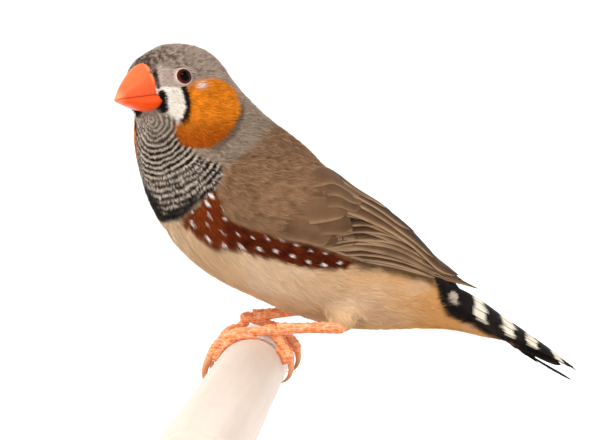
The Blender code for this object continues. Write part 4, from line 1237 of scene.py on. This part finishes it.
# the plates are long along the shank and lie across the toes where they bend down
stretched = w.node("ShaderNodeVectorMath", {"operation": "MULTIPLY"}, {0: place, 1: (0.16, 1.0, 1.0)})
cells = w.node(
    "ShaderNodeTexVoronoi", {"feature": "DISTANCE_TO_EDGE"}, {"Vector": stretched, "Scale": 1500.0})
seams = w.maths("SUBTRACT", 1.0, cells * 8.0, True)
base = w.maths("MULTIPLY", speckle - 0.3, 2.2, True).mix(tone(208, 84, 22), tone(250, 154, 80))
# pale lines at the plates' joins and seams: partly paler skin, partly painted highlight on the scales' edges
feed(shader, Base_Color=(w.maths("MAXIMUM", joint, seams * 0.75) * 0.55).mix(base, tone(254, 224, 190)),
     Roughness=speckle * 0.2 + 0.36,
     Normal=bump(w, w.maths("MINIMUM", cells * 5.0, 0.6) + spread(w, place, 4200.0) * 0.3, 0.6, 0.00012))


def legTree():
    # a tube along the toes' lines with a step at every scale, on the side away from the perch
    tree = bpy.data.node_groups.new("scaledToe", "GeometryNodeTree")
    kinds = {"Geometry": "Geometry", "Plate Length": "Float", "Plate Height": "Float", "Sides": "Int",
             "Material": "Material"}
    inputs = {
        label: tree.interface.new_socket(
            name=label, in_out="INPUT", socket_type="NodeSocket" + kind).identifier
        for label, kind in kinds.items()}
    tree.interface.new_socket(name="Geometry", in_out="OUTPUT", socket_type="NodeSocketGeometry")
    w = Wire(tree)

    def vectors(operation, a, b=None, out=0):
        return w.node("ShaderNodeVectorMath", {"operation": operation}, {0: a, 1: b}, out)

    source = w.node("NodeGroupInput").socket.node
    given = {label: Wire(tree, source.outputs[label]) for label in kinds}
    shape = w.node(
        "GeometryNodeResampleCurve", {"mode": "LENGTH"}, {"Curve": given["Geometry"], "Length": 0.00012})
    shape = w.node("GeometryNodeStoreNamedAttribute", None, {
        "Geometry": shape, "Name": "along", "Value": w.node("GeometryNodeSplineParameter", out="Length")})
    circle = w.node("GeometryNodeCurvePrimitiveCircle", None, {"Resolution": given["Sides"], "Radius": 1.0})
    shape = w.node(
        "GeometryNodeCurveToMesh", None, {"Curve": shape, "Profile Curve": circle, "Fill Caps": True})
    if "Scale" in shape.socket.node.inputs:
        tree.links.new(w.node("GeometryNodeInputRadius").socket, shape.socket.node.inputs["Scale"])
    along = w.node("GeometryNodeInputNamedAttribute", {"data_type": "FLOAT"}, {"Name": "along"})
    scaled = w.maths("FRACT", along / given["Plate Length"])
    normal, position = w.node("GeometryNodeInputNormal"), w.node("GeometryNodeInputPosition")
    radial = vectors("SUBTRACT", position, (0.0, 0.0, pose["origin"][2] * 0.001))
    radial = vectors("NORMALIZE", vectors("MULTIPLY", radial, (1.0, 0.0, 1.0)))
    outer = w.maths("MULTIPLY", vectors("DOT_PRODUCT", normal, radial, 1), 1.6, True)
    ramp = (1.0 - scaled) * w.maths("MULTIPLY", scaled, 9.0, True)
    push = ramp * (outer + 0.2) * given["Plate Height"]
    offset = w.node("ShaderNodeVectorMath", {"operation": "SCALE"}, {0: normal, "Scale": push})
    shape = w.node("GeometryNodeSetPosition", None, {"Geometry": shape, "Offset": offset})
    shape = w.node(
        "GeometryNodeStoreNamedAttribute", None, {"Geometry": shape, "Name": "plate", "Value": scaled})
    shape = w.node("GeometryNodeSetMaterial", None, {"Geometry": shape, "Material": given["Material"]})
    w.node("NodeGroupOutput", None, {"Geometry": w.node("GeometryNodeRealizeInstances", None, {0: shape})})
    return tree, inputs


scaledToe, toeInputs = legTree()


def tubePiece(name, lines, plateLength, replaced, centre, size):
    # lines: lists of (point, radius) in millimetres, read along smooth curves, with one knob on them
    curve = bpy.data.curves.new(name, "CURVE")
    curve.dimensions = "3D"
    for line in lines:
        rows = [(k, *place, radius) for k, (place, radius) in enumerate(line)]
        read = readCurve(rows, np.linspace(0, len(line) - 1, len(line) * 8))
        spline = curve.splines.new("POLY")
        spline.points.add(len(read) - 1)
        for point, values in zip(spline.points, read):
            point.co = (*toRow(values[1:4]), 1.0)
            point.radius = values[4] * 0.001
    guide = addObject(name + "Line", curve)
    modifier = guide.modifiers.new("scales", "NODES")
    modifier.node_group = scaledToe
    for label, value in (("Plate Length", plateLength * 0.001),
                         ("Plate Height", footWay["plateHeight"] * 0.001),
                         ("Sides", footWay["sides"]), ("Material", legFinish)):
        modifier[toeInputs[label]] = value
    mesh = bakedMesh(guide)
    shape = bmesh.new()
    shape.from_mesh(mesh)
    plates = shape.verts.layers.float.get("plate")
    around, over = footWay["knob"]
    knob = bmesh.ops.create_uvsphere(shape, u_segments=around, v_segments=over, radius=0.001)["verts"]
    for v in knob:
        v[plates] = 0.5
    bmesh.ops.scale(shape, vec=size, verts=knob)
    bmesh.ops.translate(shape, vec=Vector(toRow(centre)), verts=knob)
    bmesh.ops.remove_doubles(shape, verts=shape.verts, dist=1e-7)
    bmesh.ops.recalc_face_normals(shape, faces=shape.faces)
    for f in shape.faces:
        f.smooth = True
        f.material_index = 0
    shape.to_mesh(mesh)
    shape.free()
    if not mesh.materials:
        mesh.materials.append(legFinish)
    showPiece(name, mesh, replaced)
    print(name, len(mesh.polygons))


def toePath(root, line, lean, share, lift):
    points = [root]
    rows = [(k, *row) for k, row in enumerate(footWay[line])]
    for _, degrees, height in readCurve(rows, np.linspace(0, len(rows) - 1, footWay["steps"])):
        angle = -math.radians(degrees * share)
        reach = footWay["dowel"] + height + lift
        side = root[1] + lean * len(points) / footWay["steps"]
        point = np.array([reach * math.sin(angle), side, reach * math.cos(angle)])
        if np.linalg.norm(point - root) > 2.0 and (point[0] - root[0]) * footWay[line][-1][0] < 0:
            points.append(point)
    return points


toeLines = {}
for name, leg in legWay.items():
    heel, root = np.array(leg["heel"]), np.array(leg["toeRoot"])
    swell = (1.15, 1.05, 0.95, 0.9, 0.92, 1.0, 1.12)
    shank = [(heel + (root - heel) * k / 6, footWay["tarsus"] * s) for k, s in enumerate(swell)]
    tubePiece("scaled_tarsus_" + name, [shank], footWay["plate"] * 1.5, ("tarsus_" + name,),
              heel, (1.28, 1.28, 1.28))
    palm = root + np.array([-1.0, 0.0, -0.2])
    lines = []
    for toe, line, lean, share in footWay["toes"]:
        lift = leg["hindLift"] if toe == "hind" else 0.0
        points = toePath(palm, line, lean * leg["outward"], share, lift)
        radii = [footWay["toe"] * (1.02 + 0.17 * math.cos(2.2 * k) - 0.02 * k) for k in range(len(points))]
        radii[-1] *= 0.88
        lines.append(list(zip(points, radii)))
        # soft pads under the toe press on the perch
        padLine = []
        for k, point in enumerate(points[1:]):
            across = point * np.array([1.0, 0.0, 1.0])
            size = footWay["pad"] * (1 + 0.08 * math.cos(2.6 * k)) * {
                0: 0.45, len(points) - 2: 0.86}.get(k, 1.0)
            padLine.append((point - across + unit(across) * (footWay["dowel"] + size - 0.05), size))
        lines.append(padLine)
        toeLines[name, toe] = (points, "hind" if toe == "hind" else "front")
    tubePiece("scaled_foot_" + name, lines, footWay["plate"], ("foot_" + name,), palm, (1.7, 1.5, 1.1))

print("claws and stand")
clawFinish, w, shader, place = makeFinish("clawHorn", Coat_Weight=0.2, Coat_Roughness=0.3)
grain = spread(w, place, 1800.0)
feed(shader, Base_Color=(grain * 0.5).mix(stored(w, "tint"), tone(236, 176, 136)),
     Roughness=grain * 0.2 + 0.3)


def makeClaw(points, kind, name, node):
    # a hooked claw, deeper than it is wide, that grows out of the toe's end
    heading = unit(points[-1] - points[-2])
    place = points[-1] - heading * 0.35
    turn = math.radians(footWay["clawArc"][kind]) * (-1 if kind == "front" else 1)
    rows, sides = footWay["clawMesh"]
    around = 2 * math.pi * np.arange(sides)[:, None] / sides
    shares, rings = np.arange(rows) / (rows - 1), []
    for share in shares:
        if rings:
            angle = turn / (rows - 1) * min(1.6, 0.4 + 1.4 * share)
            c, s = math.cos(angle), math.sin(angle)
            heading = np.array([
                heading[0] * c + heading[2] * s, heading[1], -heading[0] * s + heading[2] * c])
            place = place + heading * (footWay["clawLength"] + 0.5) / (rows - 1)
        radius = footWay["clawRadius"] * (1 - share) ** 0.75 + 0.05
        side = unit(np.cross(heading, [0.0, 1.0, 0.0]))
        across = np.cross(side, heading)
        rings.append(place + side * radius * np.cos(around) * 1.12 + across * radius * np.sin(around) * 0.8)
    index = np.arange(rows * sides).reshape(rows, sides)
    end = np.stack([index[-1], np.roll(index[-1], -1), np.full(sides, rows * sides)], 1)
    colours = blend(footWay["clawRoot"], footWay["clawTip"], np.append(np.repeat(shares, sides), 1.0))
    piece = makePiece(name, np.concatenate([*rings, [place + heading * 0.05]]),
                      [hoops(index, True), end, index[0][None, ::-1]], clawFinish, colours,
                      replaced=(node,))
    faceOut(piece.data)


for (side, toe), (points, kind) in toeLines.items():
    makeClaw(points, kind, f"horn_claw_{toe}_{side}", f"claw_{toe}_{side}")

perchWay = {"radius": 6.35, "front": -110.0, "back": 22.0, "sides": 144, "ease": 0.8}
perchFinish, w, shader, place = makeFinish("dowelWood", Specular_IOR_Level=0.35)
rings, cloud = spread(w, stretch(w, place, (1.0, 0.06, 1.0)), 900.0, 4.0), spread(w, place, 60.0)
feed(shader, Base_Color=(rings * 0.5 + cloud * 0.3).mix(tone(209, 191, 177), tone(193, 173, 158)),
     Roughness=rings * 0.2 + 0.4, Normal=bump(w, rings, 0.12, 0.0001))


def makePerch():
    radius, front, back, ease = (perchWay[key] for key in ("radius", "front", "back", "ease"))
    arc = np.linspace(0, math.pi / 2, 7)
    wide = np.concatenate([[radius * 0.5], radius - ease + ease * np.sin(arc), np.full(16, radius),
                           radius - ease + ease * np.cos(arc), [radius * 0.5]])[:, None]
    along = np.concatenate([[front], front + ease - ease * np.cos(arc), np.linspace(front + 8, back - 8, 16),
                            back - ease + ease * np.sin(arc), [back]])[:, None]
    turn = np.linspace(0, 2 * math.pi, perchWay["sides"], endpoint=False)
    rings = np.stack(np.broadcast_arrays(wide * np.sin(turn), along, wide * np.cos(turn)), -1)
    points, faces = lathe(rings, (0.0, front, 0.0), (0.0, back, 0.0))
    faceOut(makePiece("round_perch", points, faces, perchFinish, replaced=("perch",)).data)


makePerch()
standFinish, w, shader, place = makeFinish("oiledWood", Coat_Weight=0.12, Coat_Roughness=0.35)
wander = spread(w, place, 45.0, 2.0)
fibre = spread(w, stretch(w, place, (14.0, 1.0, 14.0)), 60.0, 6.0)
growth = w.maths("SINE", (fibre * 9.0 + wander * 6.0) * 3.0) * 0.5 + 0.5
feed(shader, Base_Color=(growth * 0.6 + fibre * 0.4).mix(tone(120, 84, 54), tone(70, 46, 29)),
     Roughness=fibre * 0.25 + 0.36, Normal=bump(w, fibre * 0.7 + growth * 0.3, 0.2, 0.0002))
rodFinish, w, shader, place = makeFinish("brushedRod", Metallic=1.0)
lines = spread(w, stretch(w, place, (0.3, 0.3, 20.0)), 700.0)
feed(shader, Base_Color=lines.mix(tone(206, 203, 197), tone(170, 167, 160)), Roughness=lines * 0.2 + 0.22,
     Normal=bump(w, lines, 0.15, 0.00005))
for node, finish in (
        ("stand_base", standFinish), ("stand_rod_front", rodFinish), ("stand_rod_back", rodFinish)):
    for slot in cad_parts[node].material_slots:
        slot.material = finish

print("studio")
studio = {"flat": 0.8, "rise": 0.5, "wall": 1.1, "sides": 96, "floor": -0.0001, "sky": 0.42, "glow": 0.3,
          # place, what it points at, width and power of each lamp
          "lamps": {"keyLight": ((-0.42, -0.3, 0.72), (0, 0.04, 0.08), 0.3, 6.2),
                    "fillLight": ((0.3, -0.44, 0.68), (0, 0.04, 0.07), 0.22, 1.8),
                    "backLight": ((0.1, 0.6, 0.5), (0, 0.04, 0.07), 0.5, 1.8)}}
floorFinish = makeFinish("paper", Roughness=0.9, Specular_IOR_Level=0.1, Base_Color=(0.93, 0.93, 0.92, 1.0),
                         Emission_Color=(1.0, 1.0, 1.0, 1.0), Emission_Strength=studio["glow"])[0]


def makeSweep():
    # a round sheet of paper that turns up into a wall
    flat, rise, sides, floor = (studio[key] for key in ("flat", "rise", "sides", "floor"))
    profile = [(0.3, 0.0), (flat, 0.0)]
    profile += [(flat + rise * math.sin(a), rise * (1 - math.cos(a)))
                for a in np.linspace(0.1, math.pi / 2, 14)]
    profile += [(profile[-1][0], studio["wall"])]
    turns = np.linspace(0, 2 * math.pi, sides, endpoint=False)
    mesh = bpy.data.meshes.new("paperSweep")
    shape = bmesh.new()
    rows = [[shape.verts.new((r * math.cos(t), r * math.sin(t), z + floor)) for t in turns]
            for r, z in profile]
    centre = shape.verts.new((0, 0, floor))
    for k in range(sides):
        after = (k + 1) % sides
        shape.faces.new((centre, rows[0][k], rows[0][after]))
        for low, high in zip(rows, rows[1:]):
            shape.faces.new((low[k], high[k], high[after], low[after]))
    shape.to_mesh(mesh)
    shape.free()
    mesh.polygons.foreach_set("use_smooth", np.ones(len(mesh.polygons), bool))
    mesh.materials.append(floorFinish)
    addObject("paperSweep", mesh)


makeSweep()
world = bpy.data.worlds.new("softRoom")
bpy.context.scene.world = world
world.use_nodes = True
sky = world.node_tree.nodes["Background"].inputs
sky["Color"].default_value = (1.0, 1.0, 1.0, 1.0)
sky["Strength"].default_value = studio["sky"]
for name, (place, target, size, power) in studio["lamps"].items():
    lamp = bpy.data.lights.new(name, "AREA")
    lamp.shape = "DISK"
    lamp.size = size
    lamp.energy = power
    made = addObject(name, lamp)
    made.location = place
    made.rotation_euler = (Vector(target) - Vector(place)).to_track_quat("-Z", "Y").to_euler()

cameraWay = {"place": (0.028529, -0.312825, 0.094751), "turn": 2.93, "down": 3.24, "focal": 109.27,
             "sensor": 36.0, "clip": (0.01, 20.0)}
lens = bpy.data.cameras.new("photoCamera")
lens.lens, lens.sensor_width = cameraWay["focal"], cameraWay["sensor"]
lens.clip_start, lens.clip_end = cameraWay["clip"]
camera = addObject("photoCamera", lens)
camera.location = cameraWay["place"]
camera.rotation_euler = (math.radians(90 - cameraWay["down"]), 0.0, math.radians(cameraWay["turn"]))
bpy.context.scene.camera = camera
bpy.context.scene.view_settings.view_transform = "Standard"
